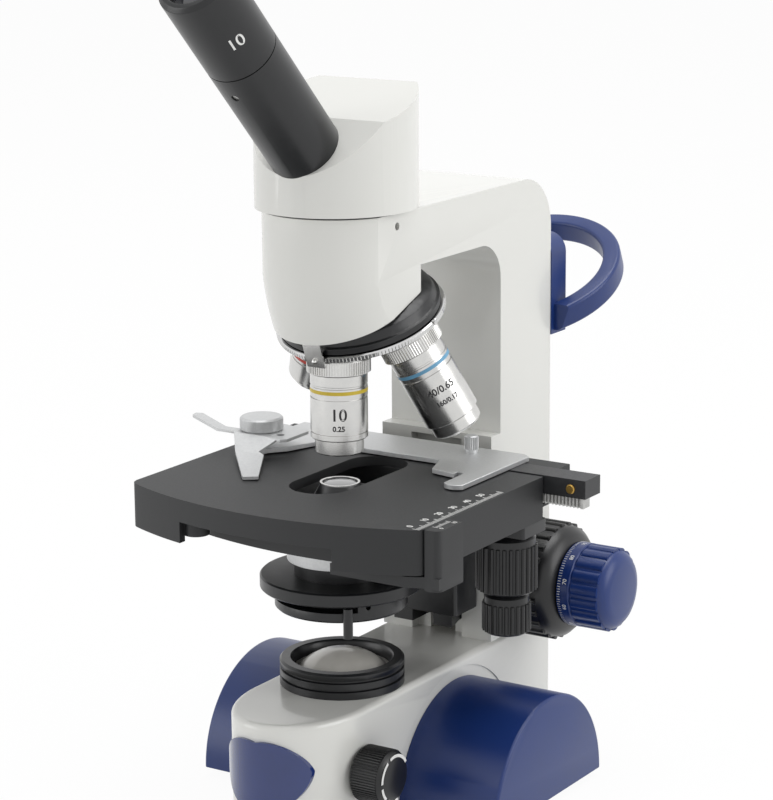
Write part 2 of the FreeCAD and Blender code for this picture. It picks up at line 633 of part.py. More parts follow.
def make_arm():
    """C-shaped arm casting: column, beam and the round nosepiece housing in one piece."""
    back = ARM_BACK_Y
    bend = ARM_BACK_R * (1 - math.cos(math.radians(45)))
    inner = ARM_INNER_R * (1 - math.cos(math.radians(45)))
    profile = outline((GUIDE_FRONT_Y, BASE_TOP_Z), (GUIDE_FRONT_Y, GUIDE_TOP_Z), (COLUMN_FRONT_Y, GUIDE_TOP_Z),
                      (COLUMN_FRONT_Y, ARM_UNDER_Z - ARM_INNER_R),
                      ((COLUMN_FRONT_Y - inner, ARM_UNDER_Z - inner), (COLUMN_FRONT_Y - ARM_INNER_R, ARM_UNDER_Z)),
                      (0, ARM_UNDER_Z), (0, ARM_TOP_Z), (back - ARM_BACK_R, ARM_TOP_Z),
                      ((back - bend, ARM_TOP_Z - bend), (back, ARM_TOP_Z - ARM_BACK_R)), (back, BASE_TOP_Z))
    arm = side_slab(profile, -BASE_HALF, BASE_HALF)
    below = rod(3 * HOUSING_TOP_R, nose_point(NOSE_SEAT), nose_point(NOSE_SEAT + 3 * HOUSING_TOP_R))
    arm = arm.fuse(housing_body().cut(below))
    arm = arm.cut(rod(HOUSING_BORE_R, V(0, 0, HOUSING_LOW_Z - 20), V(0, 0, ARM_TOP_Z)))
    arm = arm.cut(rod(DOVETAIL_R + SLIDE_FIT, V(0, 0, ARM_TOP_Z - DOVETAIL_DEPTH - SLIDE_FIT), V(0, 0, ARM_TOP_Z)))
    arm = arm.cut(rod(SET_SCREW_R, set_screw_place(0), set_screw_place(BASE_HALF + 6)))
    arm = arm.cut(block(-CHANNEL_HALF, CHANNEL_HALF, GUIDE_FRONT_Y, CHANNEL_FLOOR_Y, BASE_TOP_Z, CHANNEL_TOP_Z))
    arm = arm.cut(block(-RACK_SLOT_HALF, RACK_SLOT_HALF, CHANNEL_FLOOR_Y, COLUMN_CAVITY_FRONT_Y,
                        BASE_TOP_Z, FOCUS_RACK_TOP_Z + 6))
    arm = arm.cut(block(-COLUMN_CAVITY_HALF, COLUMN_CAVITY_HALF, COLUMN_CAVITY_FRONT_Y, COLUMN_CAVITY_BACK_Y,
                        BASE_TOP_Z, COLUMN_CAVITY_TOP_Z))
    arm = arm.cut(rod(COARSE_SHAFT_R + RUN_FIT, V(-BASE_HALF, FOCUS_Y, FOCUS_Z), V(BASE_HALF, FOCUS_Y, FOCUS_Z)))
    for x in (-HANDLE_SCREW_SPACING / 2, HANDLE_SCREW_SPACING / 2):
        z = (HANDLE_PLATE_LOW_Z + HANDLE_PLATE_TOP_Z) / 2
        arm = arm.cut(rod(HANDLE_SCREW_R, V(x, ARM_BACK_Y - 10, z), V(x, ARM_BACK_Y, z)))
    save("arm_casting", arm.removeSplitter())
    screw = rod(SET_SCREW_R - PRESS_GAP, set_screw_place(DOVETAIL_NECK_R + SLIDE_FIT), set_screw_place(BASE_HALF - 2.0))
    save("head_set_screw", screw)


def set_screw_place(distance):
    """A point on the head's clamping screw, which enters the right side of the arm."""
    return V(distance, 1.5, ARM_TOP_Z - DOVETAIL_DEPTH / 2)


def make_handle():
    """Blue handle: a plate on the arm's back with a tilted loop, and its two screws."""
    mid_z = (HANDLE_PLATE_LOW_Z + HANDLE_PLATE_TOP_Z) / 2
    plate = block(-HANDLE_PLATE_HALF, HANDLE_PLATE_HALF, ARM_BACK_Y, ARM_BACK_Y + HANDLE_PLATE_T,
                  HANDLE_PLATE_LOW_Z, HANDLE_PLATE_TOP_Z)
    plate = soften(plate, HANDLE_PLATE_CORNER_R,
                   lambda e: abs(e.tangentAt(e.FirstParameter).y) > 0.9 and e.BoundBox.ZMin > mid_z)
    centre = V(0, ARM_BACK_Y + HANDLE_LOOP_R - HANDLE_LOOP_SETBACK, HANDLE_PLATE_LOW_Z + HANDLE_LOOP_RISE)
    lean = math.radians(HANDLE_TILT)
    up = V(0, -math.sin(lean), math.cos(lean))
    loop = tube(HANDLE_LOOP_R, HANDLE_LOOP_R - HANDLE_BAND_T, centre, centre.add(up * HANDLE_BAND_H))
    loop = soften(loop, 1.5, lambda e: e.Length > HANDLE_LOOP_R)
    front = ARM_BACK_Y + HANDLE_PLATE_T * 0.2
    loop = loop.cut(block(-2 * HANDLE_LOOP_R, 2 * HANDLE_LOOP_R, ARM_BACK_Y - 3 * HANDLE_LOOP_R, front, 0, 400))
    handle = plate.fuse(loop)
    screws = []
    for x in (-HANDLE_SCREW_SPACING / 2, HANDLE_SCREW_SPACING / 2):
        handle = handle.cut(rod(HANDLE_SCREW_R + 0.3, V(x, ARM_BACK_Y, mid_z), V(x, ARM_BACK_Y + HANDLE_PLATE_T, mid_z)))
        handle = handle.cut(rod(4.6, V(x, ARM_BACK_Y + HANDLE_PLATE_T - 4, mid_z),
                                V(x, ARM_BACK_Y + HANDLE_PLATE_T, mid_z)))
        head = rod(4.2, V(x, ARM_BACK_Y + HANDLE_PLATE_T - 4, mid_z), V(x, ARM_BACK_Y + HANDLE_PLATE_T - 0.5, mid_z))
        shank = rod(HANDLE_SCREW_R - PRESS_GAP, V(x, ARM_BACK_Y - 9, mid_z), V(x, ARM_BACK_Y + HANDLE_PLATE_T - 4, mid_z))
        screws.append(head.fuse(shank))
    save("carrying_handle", handle.removeSplitter())
    save("handle_screws", *screws)


def tube_point(distance):
    """The point on the eyepiece tube's axis at a distance above the head's facet."""
    return TUBE_EXIT.add(TUBE_DIR * distance)


def make_head():
    """Head body with its dovetail, prism and tube."""
    body = rod(HEAD_R, V(0, 0, SEAM_Z), V(0, 0, HEAD_RIDGE_Z + 10))
    reach = HEAD_BACK_Y + HEAD_R + 1
    wire = outline((-HEAD_R - 1, SEAM_Z), (HEAD_BACK_Y, SEAM_Z), (HEAD_BACK_Y, HEAD_RIDGE_Z),
                   (-HEAD_R - 1, HEAD_RIDGE_Z - reach * HEAD_TOP_SLOPE))
    body = body.common(side_slab(wire, -HEAD_R - 1, HEAD_R + 1))
    body = body.cut(rod(3 * HEAD_R, TUBE_EXIT, tube_point(3 * HEAD_R)))
    body = body.cut(rod(DOVETAIL_NECK_R - 2, V(0, 0, SEAM_Z), V(0, 0, SEAM_Z + 22)))
    body = body.cut(rod(TUBE_R + PRESS_GAP, tube_point(-TUBE_SEAT), tube_point(1)))
    body = body.cut(rod(TUBE_BORE_R, tube_point(-30), tube_point(0)))
    save("head_body", body.removeSplitter())
    flange_low = SEAM_Z - SEAM_GAP + 0.1
    foot = SEAM_Z - SEAM_GAP - DOVETAIL_DEPTH
    dovetail = turned([(HOUSING_BORE_R, foot), (DOVETAIL_R, foot), (DOVETAIL_NECK_R, foot + 2.6),
                       (DOVETAIL_NECK_R, flange_low), (DOVETAIL_FLANGE_R, flange_low), (DOVETAIL_FLANGE_R, SEAM_Z),
                       (HOUSING_BORE_R, SEAM_Z)])
    behind = block(-HEAD_R, HEAD_R, HEAD_BACK_Y, HEAD_R, flange_low, SEAM_Z)
    save("head_dovetail", dovetail.cut(behind))
    half = PRISM_HALF
    low = SEAM_Z
    wire = outline((-half, low), (half, low), (half, low + 2 * half), (-half + 6, low + 2 * half - 4))
    save("prism", side_slab(wire, -half, half))
    barrel = tube(TUBE_R, TUBE_BORE_R, tube_point(-TUBE_SEAT), tube_point(TUBE_LENGTH))
    under = V(0, -1, -1).normalize()
    screw_at = tube_point(TUBE_LENGTH - 9)
    barrel = barrel.cut(rod(SET_SCREW_R, screw_at, screw_at.add(under * (TUBE_R + 1))))
    save("eyepiece_tube", barrel)
    screw = rod(SET_SCREW_R - PRESS_GAP, screw_at.add(under * (TUBE_BORE_R + 0.1)), screw_at.add(under * (TUBE_R - 0.6)))
    save("eyepiece_set_screw", screw)


def make_eyepiece():
    """Eyepiece body and its two lenses."""
    insert_r = TUBE_BORE_R - 0.04
    bore_r = insert_r - 1.5
    start = TUBE_LENGTH + EYEPIECE_SEAM
    top = start + EYEPIECE_LENGTH
    profile = [(bore_r, start - EYEPIECE_INSERT), (insert_r, start - EYEPIECE_INSERT), (insert_r, start),
               (TUBE_R, start), (TUBE_R, top - 1.5), (TUBE_R - 1.5, top), (EYE_LENS_R + 1.2, top),
               (EYE_LENS_R, top - 2.5), (EYE_LENS_R, top - 9.0), (bore_r, top - 9.0)]
    save("eyepiece_body", turned(profile, TUBE_EXIT, TUBE_DIR))
    fit = PRESS_GAP
    eye = [(0, top - 8.0), (EYE_LENS_R - fit, top - 8.0), (EYE_LENS_R - fit, top - 5.5), (EYE_LENS_R - 3, top - 4.6),
           (0, top - 4.0)]
    field_at = start - 4.0
    field = [(0, field_at), (bore_r - fit, field_at), (bore_r - fit, field_at + 2.2), (bore_r - 4, field_at + 3.0),
             (0, field_at + 3.4)]
    save("eyepiece_lenses", turned(eye, TUBE_EXIT, TUBE_DIR), turned(field, TUBE_EXIT, TUBE_DIR))


def port_direction(index):
    """The downward direction of an objective; port 0 is the working one and lies on the optical axis."""
    turn = FreeCAD.Rotation(NOSE_DOWN, index * 360.0 / PORT_COUNT)
    return turn.multVec(V(0, 0, -1))


def make_nosepiece():
    """Fixed black ring, revolving disc with four ports, pivot and detent spring."""
    up = NOSE_DOWN * -1
    rim_low = NOSE_RIM_TOP + NOSE_RIM_T
    slope = math.tan(TILT)
    seat_depth = SHOULDER_DIST * math.cos(TILT)
    pitch_r = SHOULDER_DIST * math.sin(TILT)
    cone_r = NOSE_DISC_R - 1.2
    centre_depth = rim_low + cone_r * slope
    ring_low = NOSE_RIM_TOP - NOSE_GAP
    blank = turned([(0, -ring_low), (NOSE_RING_R, -ring_low), (NOSE_RING_R, -ring_low + 2.4),
                    (NOSE_RING_R - 1.2, -ring_low + 2.7), (NOSE_RING_R - 2.4, -NOSE_RING_TOP),
                    (NOSE_SEAT_R, -NOSE_SEAT), (0, -NOSE_SEAT)], NOSE_APEX, up)
    ring = blank
    ring = ring.cut(rod(HOUSING_BORE_R - 2.5, V(0, 0, 150), V(0, 0, ARM_TOP_Z)))
    ring = ring.cut(rod(NOSE_PIVOT_R - PRESS_GAP, nose_point(NOSE_RING_TOP), nose_point(ring_low + 1)))
    save("nosepiece_ring", ring)
    disc = turned([(0, -centre_depth), (cone_r, -rim_low), (NOSE_DISC_R, -rim_low + 0.5), (NOSE_DISC_R, -NOSE_RIM_TOP - 0.4),
                   (NOSE_DISC_R - 0.5, -NOSE_RIM_TOP), (0, -NOSE_RIM_TOP)], NOSE_APEX, up)
    hollow = turned([(0, -centre_depth + NOSE_SHELL_T), (cone_r - 5, -rim_low + 0.6), (cone_r - 5, -NOSE_RIM_TOP + 1),
                     (0, -NOSE_RIM_TOP + 1)], NOSE_APEX, up)
    disc = disc.cut(hollow)
    hub = rod(NOSE_PIVOT_R + 3, nose_point(NOSE_RIM_TOP), nose_point(centre_depth - 1.4))
    disc = disc.fuse(hub)
    for index in range(PORT_COUNT):
        way = port_direction(index)
        disc = disc.fuse(rod(COLLAR_R - 0.2, NOSE_APEX.add(way * (SHOULDER_DIST - 5.2)), NOSE_APEX.add(way * SHOULDER_DIST)))
    disc = disc.cut(rod(2 * NOSE_DISC_R, NOSE_APEX, nose_point(NOSE_RIM_TOP)))
    for index in range(PORT_COUNT):
        way = port_direction(index)
        disc = disc.cut(rod(PORT_BORE_R, NOSE_APEX.add(way * (SHOULDER_DIST - 9)), NOSE_APEX.add(way * (SHOULDER_DIST + 5))))
        notch_turn = FreeCAD.Rotation(NOSE_DOWN, index * 360.0 / PORT_COUNT)
        outward = notch_turn.multVec(V(0, -math.cos(TILT), -math.sin(TILT)))
        notch_from = nose_point(NOSE_RIM_TOP - 1).add(outward * NOSE_DISC_R)
        disc = disc.cut(rod(0.9, notch_from, notch_from.add(NOSE_DOWN * 5)))
    disc = disc.cut(rod(NOSE_PIVOT_R + RUN_FIT, nose_point(NOSE_RIM_TOP - 1), nose_point(centre_depth + 1)))
    save("nosepiece_disc", disc.removeSplitter())
    pivot = rod(NOSE_PIVOT_R - 2 * PRESS_GAP, nose_point(NOSE_RING_TOP + 0.5), nose_point(centre_depth - 1.2))
    pivot = pivot.fuse(rod(NOSE_PIVOT_R + 2.0, nose_point(centre_depth - 1.2), nose_point(centre_depth + 0.6)))
    save("nosepiece_pivot", pivot)
    outward = V(0, -math.cos(TILT), -math.sin(TILT))
    frame = FreeCAD.Placement(NOSE_APEX, FreeCAD.Rotation(UP, up))
    reach = NOSE_DISC_R + NOSE_GAP
    strip_top = -NOSE_SEAT - NOSE_GAP
    strip = block(-4, 4, -reach - 0.7, -reach, -rim_low - 1.5, strip_top)
    lug = block(-4, 4, -reach, -NOSE_RING_R + 1.5, -ring_low + 2.4, strip_top)
    spring = strip.fuse(lug)
    spring.Placement = frame
    spring = spring.cut(blank)
    ball = Part.makeSphere(1.1, nose_point(NOSE_RIM_TOP + NOSE_RIM_T / 2).add(outward * (reach + 0.9)))
    save("detent_spring", spring.fuse(ball))


def objective(name, length, tip_r, tip_h, way, groove_at):
    """Objective barrel: thread, knurled collar, body with a groove, and a narrower tip."""
    deep = 0.35
    profile = [(OBJECTIVE_BORE_R, THREAD_H), (THREAD_R, THREAD_H), (THREAD_R, 0), (COLLAR_R - 0.4, 0),
               (COLLAR_R, -0.4), (COLLAR_R, 0.4 - COLLAR_H), (COLLAR_R - 0.4, -COLLAR_H), (BARREL_R, -COLLAR_H),
               (BARREL_R, -groove_at + 0.3), (BARREL_R - deep, -groove_at), (BARREL_R, -groove_at - 0.3),
               (BARREL_R, tip_h - length + 0.3), (BARREL_R - 0.4, tip_h - length), (tip_r, tip_h - length),
               (tip_r, 0.5 - length), (tip_r - 0.5, -length), (OBJECTIVE_BORE_R, -length)]
    save(name, turned(profile, NOSE_APEX.add(way * SHOULDER_DIST), way * -1))


def make_objectives():
    """Three objectives: 10x on the optical axis, 40x to its right, 4x to its left."""
    seat = SHOULDER_DIST
    way_10, way_4, way_40 = working_ports()
    objective("objective_10x", LENGTH_10X, TIP_R_10X, TIP_H_10X, way_10, 15.2)
    objective("objective_4x", LENGTH_4X, TIP_R_4X, TIP_H_4X, way_4, 14.0)
    barrel_end = LENGTH_40X - NOSE_H_40X
    profile = [(OBJECTIVE_BORE_R, THREAD_H), (THREAD_R, THREAD_H), (THREAD_R, 0), (COLLAR_R - 0.4, 0),
               (COLLAR_R, -0.4), (COLLAR_R, 0.4 - COLLAR_H), (COLLAR_R - 0.4, -COLLAR_H), (BARREL_R, -COLLAR_H),
               (BARREL_R, -15.0), (BARREL_R - 0.35, -15.3), (BARREL_R, -15.6),
               (BARREL_R, 0.4 - barrel_end), (BARREL_R - 0.4, -barrel_end), (NOSE_R_40X + RUN_FIT, -barrel_end),
               (NOSE_R_40X + RUN_FIT, -barrel_end + NOSE_INSIDE_40X + NOSE_STROKE_40X + 0.5),
               (OBJECTIVE_BORE_R, -barrel_end + NOSE_INSIDE_40X + NOSE_STROKE_40X + 0.5)]
    save("objective_40x", turned(profile, NOSE_APEX.add(way_40 * seat), way_40 * -1))
    lens_r = LENS_40X_R
    nose = [(lens_r, -LENGTH_40X), (NOSE_R_40X - 1.0, -LENGTH_40X), (NOSE_R_40X, -LENGTH_40X + 1.0),
            (NOSE_R_40X, -barrel_end + NOSE_INSIDE_40X), (NOSE_R_40X - 2.5, -barrel_end + NOSE_INSIDE_40X),
            (lens_r, -LENGTH_40X + LENS_T + 0.4)]
    save("objective_40x_nose", turned(nose, NOSE_APEX.add(way_40 * seat), way_40 * -1))
    fit = PRESS_GAP
    small = rod(lens_r - fit, NOSE_APEX.add(way_40 * (seat + LENGTH_40X - LENS_T)), NOSE_APEX.add(way_40 * (seat + LENGTH_40X - 0.2)))
    save("front_lens_40x", small)
    lenses = []
    for way, length in ((way_10, LENGTH_10X), (way_4, LENGTH_4X)):
        end = NOSE_APEX.add(way * (seat + length - 0.6))
        start = NOSE_APEX.add(way * (seat + length - 0.6 - LENS_T))
        lenses.append(rod(OBJECTIVE_BORE_R - fit, start, end))
    save("objective_front_lenses", *lenses)


def working_ports():
    """Directions of the 10x, 4x and 40x objectives."""
    ways = [port_direction(i) for i in range(PORT_COUNT)]
    right = max(ways, key=lambda w: w.x)
    left = min(ways, key=lambda w: w.x)
    return ways[0], left, right


def stage_outline(inset, rear):
    """Plan of the stage plate: straight sides, convex front, rounded front corners."""
    half = STAGE_HALF - inset
    corner = STAGE_CORNER_Y + inset
    apex = STAGE_APEX_Y + inset
    body = slab(outline((-half, corner), ((0, apex), (half, corner)), (half, rear), (-half, rear)), 0, 1)
    radius = max(STAGE_CORNER_R - inset, 1.0)
    body = soften(body, radius, lambda e: abs(e.tangentAt(e.FirstParameter).z) > 0.9 and e.BoundBox.YMax < apex / 2)
    flat = [f for f in body.Faces if f.normalAt(0, 0).z < -0.9][0]
    return flat.OuterWire


def make_stage_plate():
    """Top plate with its skirt and the long aperture; it moves to and fro."""
    top = STAGE_TOP_Z
    plate = slab(stage_outline(0, STAGE_REAR_Y), SKIRT_LOW_Z, top)
    plate = plate.cut(slab(stage_outline(STAGE_WALL, STAGE_REAR_Y + 5), SKIRT_LOW_Z, PLATE_LOW_Z))
    straight_from = SLOT_FRONT_Y + SLOT_HALF
    straight_to = SLOT_REAR_Y - SLOT_HALF
    slot = slab(outline((-SLOT_HALF, straight_from), ((0, SLOT_FRONT_Y), (SLOT_HALF, straight_from)),
                        (SLOT_HALF, straight_to), ((0, SLOT_REAR_Y), (-SLOT_HALF, straight_to))), PLATE_LOW_Z, top)
    plate = plate.cut(slot)
    plate = plate.cut(block(NOTCH_LEFT_X, NOTCH_RIGHT_X, STAGE_APEX_Y, STAGE_CORNER_Y, SKIRT_LOW_Z,
                            SKIRT_LOW_Z + NOTCH_H))
    boss_low = STAGE_TOP_Z - STAGE_BOSS_DROP
    plate = plate.fuse(rod(STAGE_BOSS_R, V(STAGE_BOSS_X, STAGE_BOSS_Y, boss_low), V(STAGE_BOSS_X, STAGE_BOSS_Y, top - 1)))
    save("stage_plate", plate.removeSplitter())


def make_lower_stage():
    """Fixed lower plate with the vernier block, guide rails and the fore-and-aft rack."""
    edge = STAGE_HALF + SLIDE_FIT
    outer = edge + VERNIER_T
    low = LOWER_LOW_Z
    rack_line = KNOB_X - PITCH_R
    corner = (LOWER_LEFT_X + 6.5, LOWER_EDGE_Y)
    bow = ((-8.0, LOWER_BOW_Y), (LOWER_STEP_X, LOWER_BOW_Y + 1.0))
    plan = outline((LOWER_LEFT_X, LOWER_EDGE_Y + 6.0), corner, bow, (LOWER_STEP_X, LOWER_FRONT_Y),
                   (edge - 6.0, LOWER_FRONT_Y), (edge, VERNIER_FRONT_Y), (outer, VERNIER_FRONT_Y),
                   (outer, VERNIER_REAR_Y), (rack_line, VERNIER_REAR_Y + 14.0), (rack_line, YRACK_REAR_Y),
                   (LOWER_HALF, YRACK_REAR_Y), (LOWER_HALF, LOWER_REAR_Y), (LOWER_LEFT_X, LOWER_REAR_Y))
    plate = slab(plan, low, LOWER_TOP_Z)
    plate = plate.fuse(slab(outline(corner, bow, (LOWER_STEP_X, LOWER_EDGE_Y)), low, low + FRONT_BLOCK_H))
    vernier = block(edge, outer, VERNIER_FRONT_Y, VERNIER_REAR_Y, STAGE_TOP_Z - VERNIER_DROP, STAGE_TOP_Z)
    vernier = soften(vernier, 3.0, lambda e: abs(e.tangentAt(e.FirstParameter).z) > 0.9
                     and e.BoundBox.XMin > edge + 1 and e.BoundBox.YMax < VERNIER_REAR_Y - 1)
    plate = plate.fuse(vernier)
    rail_top = PLATE_LOW_Z - SLIDE_FIT
    for side in (-1, 1):
        inner = side * RAIL_INNER_X
        outer_x = side * LOWER_HALF
        plate = plate.fuse(block(min(inner, outer_x), max(inner, outer_x), RAIL_FRONT_Y, RAIL_REAR_Y,
                                 LOWER_TOP_Z, rail_top))
    rack_bar = rack(KNOB_Y - YRACK_REAR_Y, KNOB_Y - YRACK_FRONT_Y, YPINION_H)
    place = FreeCAD.Placement(V(KNOB_X - PITCH_R, KNOB_Y, LOWER_TOP_Z), FreeCAD.Rotation(UP, -90))
    rack_bar.Placement = place
    plate = plate.fuse(rack_bar)
    plate = plate.cut(rod(SLEEVE_R - 1.5, V(0, 0, low), V(0, 0, STAGE_TOP_Z)))
    notch_half = RAIL_HEAD_HALF + SLIDE_FIT
    plate = plate.cut(block(-notch_half, notch_half, RAIL_HEAD_Y - SLIDE_FIT, LOWER_REAR_Y, low, STAGE_TOP_Z))
    save("stage_base", plate.removeSplitter())


def rail_section(grow):
    """Plan of the guide rail: a neck in the column's channel and a wider head in front."""
    head = RAIL_HEAD_HALF + grow
    neck = RAIL_NECK_HALF + grow
    front = RAIL_HEAD_Y - grow
    back = GUIDE_FRONT_Y
    return outline((-head, front), (head, front), (neck, back), (neck, CHANNEL_FLOOR_Y), (-neck, CHANNEL_FLOOR_Y),
                   (-neck, back))


def make_guide():
    """Guide rail on the column, the carriage that slides on it, and the focus rack."""
    rail = slab(rail_section(0), RAIL_LOW_Z, RAIL_TOP_Z)
    slot_half = FOCUS_RACK_W / 2 + 0.8
    rail = rail.cut(block(-slot_half, slot_half, RAIL_HEAD_Y, CHANNEL_FLOOR_Y, RAIL_LOW_Z, FOCUS_RACK_TOP_Z + 4))
    save("stage_guide_rail", rail)
    carriage = rounded_block(-CARRIAGE_HALF, CARRIAGE_HALF, CARRIAGE_FRONT_Y, CARRIAGE_BACK_Y, CARRIAGE_LOW_Z,
                             LOWER_LOW_Z, 1.5)
    carriage = carriage.cut(slab(rail_section(SLIDE_FIT), CARRIAGE_LOW_Z, LOWER_LOW_Z))
    save("stage_carriage", carriage)
    teeth = rack(FOCUS_RACK_LOW_Z - FOCUS_Z, FOCUS_RACK_TOP_Z - FOCUS_Z, FOCUS_RACK_W)
    teeth.Placement = FreeCAD.Placement(V(FOCUS_RACK_W / 2, FOCUS_Y - PITCH_R, FOCUS_Z),
                                        FreeCAD.Rotation(V(0, -1, 0), 90))
    front = RAIL_HEAD_Y - SLIDE_FIT
    back = FOCUS_Y - PITCH_R - DEDENDUM - 1.0
    tongue = block(-FOCUS_RACK_W / 2, FOCUS_RACK_W / 2, front, back, CARRIAGE_LOW_Z + 2, FOCUS_RACK_TOP_Z - 2)
    save("focus_rack", teeth.fuse(tongue))


def make_focus():
    """Coarse knobs on a hollow shaft with the pinion, and fine knobs on the shaft inside it."""
    centre = V(0, FOCUS_Y, FOCUS_Z)
    knobs = []
    fine = []
    for side in (-1, 1):
        way = RIGHT * side
        knob = turned([(COARSE_SHAFT_R - 0.5, COARSE_IN_X), (COARSE_R - 1.5, COARSE_IN_X), (COARSE_R, COARSE_IN_X + 1.5),
                       (COARSE_R, COARSE_OUT_X - 6.0), (COARSE_R - 4.5, COARSE_OUT_X), (COARSE_SHAFT_R - 0.5, COARSE_OUT_X)],
                      centre, way)
        knobs.append(knob.cut(rod(COARSE_SHAFT_R - PRESS_GAP, centre, centre.add(way * (COARSE_OUT_X - 4)))))
        start = COARSE_OUT_X + SLIDE_FIT
        fine.append(turned([(0, start), (FINE_R - 0.6, start), (FINE_R, start + 0.6), (FINE_R, FINE_OUT_X - 3.4),
                            (FINE_R - 1.0, FINE_OUT_X - 1.5), (FINE_R - 3.0, FINE_OUT_X - 0.4), (FINE_R - 6.0, FINE_OUT_X),
                            (0, FINE_OUT_X)],
                           centre, way).cut(rod(FINE_SHAFT_R - PRESS_GAP, centre, centre.add(way * (FINE_OUT_X - 8)))))
    save("coarse_knobs", *knobs)
    save("fine_knobs", *fine)
    reach = COARSE_OUT_X - 4.0 - PRESS_GAP
    shaft = rod(COARSE_SHAFT_R - 2 * PRESS_GAP, V(-reach, FOCUS_Y, FOCUS_Z), V(reach, FOCUS_Y, FOCUS_Z))
    middle = FOCUS_RACK_W / 2 + 1.0
    neck = PITCH_R - DEDENDUM - 0.4
    shaft = shaft.cut(tube(COARSE_R, neck, V(-middle - 2, FOCUS_Y, FOCUS_Z), V(middle + 2, FOCUS_Y, FOCUS_Z)))
    pinion = toothed_wheel(PINION_TEETH, -middle, middle)
    pinion.Placement = FreeCAD.Placement(centre, pinion_turn())
    shaft = shaft.fuse(pinion)
    shaft = shaft.cut(rod(FINE_SHAFT_R + RUN_FIT, V(-COARSE_OUT_X, FOCUS_Y, FOCUS_Z), V(COARSE_OUT_X, FOCUS_Y, FOCUS_Z)))
    save("coarse_shaft", shaft)
    end = FINE_OUT_X - 8.0 - PRESS_GAP
    save("fine_shaft", rod(FINE_SHAFT_R - 2 * PRESS_GAP, V(-end, FOCUS_Y, FOCUS_Z), V(end, FOCUS_Y, FOCUS_Z)))


def pinion_turn():
    """The turn that lays the pinion's axis along X and points one tooth at the rack, towards -Y."""
    return FreeCAD.Rotation(BACK, 90).multiply(FreeCAD.Rotation(UP, -90))


def make_condenser():
    """Sleeve under the stage, condenser body with its grip disc, lens and iris."""
    sleeve = tube(SLEEVE_R, SLEEVE_BORE_R, V(0, 0, SLEEVE_LOW_Z), V(0, 0, LOWER_TOP_Z + 2.0))
    sleeve = sleeve.cut(tube(SLEEVE_R + 1, SLEEVE_R - 1.5 - PRESS_GAP, V(0, 0, LOWER_LOW_Z), V(0, 0, LOWER_TOP_Z + 3)))
    save("condenser_sleeve", sleeve)
    cone = CONDENSER_CONE_LOW_Z
    shoulder = STAGE_TOP_Z - XRACK_DROP - XRAIL_FLOOR_T - 2 * SLIDE_FIT
    floor = IRIS_SLOT_LOW_Z
    body = turned([(IRIS_BORE_R, IRIS_LOW_Z), (IRIS_RING_R - 0.8, IRIS_LOW_Z), (IRIS_RING_R, IRIS_LOW_Z + 0.8),
                   (IRIS_RING_R, DISC_LOW_Z), (DISC_R - 0.6, DISC_LOW_Z), (DISC_R, DISC_LOW_Z + 0.6),
                   (DISC_R, DISC_TOP_Z - 0.6), (DISC_R - 0.6, DISC_TOP_Z), (CONDENSER_R, DISC_TOP_Z),
                   (CONDENSER_R, shoulder), (CONDENSER_CONE_R, shoulder), (CONDENSER_CONE_R, cone),
                   (CONDENSER_TOP_R, CONDENSER_TOP_Z - 0.4), (CONDENSER_LENS_R, CONDENSER_TOP_Z - 0.4),
                   (CONDENSER_LENS_R, cone - 2), (IRIS_BORE_R, cone - 6)])
    slot_r = IRIS_BORE_R + 5.0
    slot = turned([(slot_r, floor), (IRIS_RING_R + 1, floor), (IRIS_RING_R + 1, IRIS_SLOT_TOP_Z), (slot_r, IRIS_SLOT_TOP_Z)])
    body = body.cut(slot.common(lever_sector()))
    screw_az = math.radians(IRIS_SCREW_AZ)
    screw_way = V(math.sin(screw_az), -math.cos(screw_az), 0)
    screw_at = V(0, 0, (floor + IRIS_SLOT_TOP_Z) / 2)
    body = body.cut(rod(1.0, screw_at.add(screw_way * (IRIS_RING_R - 3.0)), screw_at.add(screw_way * (IRIS_RING_R + 1.0))))
    save("condenser_body", body)
    lens = turned([(0, cone - 2), (CONDENSER_LENS_R - PRESS_GAP, cone - 2), (CONDENSER_LENS_R - PRESS_GAP, CONDENSER_TOP_Z - 0.6),
                   (0, CONDENSER_TOP_Z)])
    save("condenser_lens", lens)
    leaf_r = IRIS_BORE_R - PRESS_GAP
    leaf_low = IRIS_SLOT_TOP_Z + 0.4
    leaves = turned([(4.0, leaf_low), (leaf_r, leaf_low), (leaf_r, leaf_low + 1.0), (4.0, leaf_low + 1.0)])
    save("iris_leaves", leaves)
    az = math.radians(LEVER_AZ)
    out = V(math.sin(az), -math.cos(az), 0)
    arm_z = (floor + IRIS_SLOT_TOP_Z) / 2
    tip = out * (IRIS_RING_R + 3.2)
    arm = rod(1.0, V(out.x * 15.0, out.y * 15.0, arm_z), V(tip.x, tip.y, arm_z))
    drop = rod(LEVER_ROD_R, V(tip.x, tip.y, arm_z + 1.4), V(tip.x, tip.y, LEVER_LOW_Z))
    save("iris_lever", arm.fuse(drop))


def lever_sector():
    """The wedge in front of the condenser that the iris lever sweeps."""
    reach = 80.0
    ends = [math.radians(a) for a in (IRIS_SLOT_FROM, (IRIS_SLOT_FROM + IRIS_SLOT_TO) / 2, IRIS_SLOT_TO)]
    left, far, right = [(reach * math.sin(a), -reach * math.cos(a)) for a in ends]
    return slab(outline((0, 0), left, (far, right)), IRIS_LOW_Z, DISC_TOP_Z)


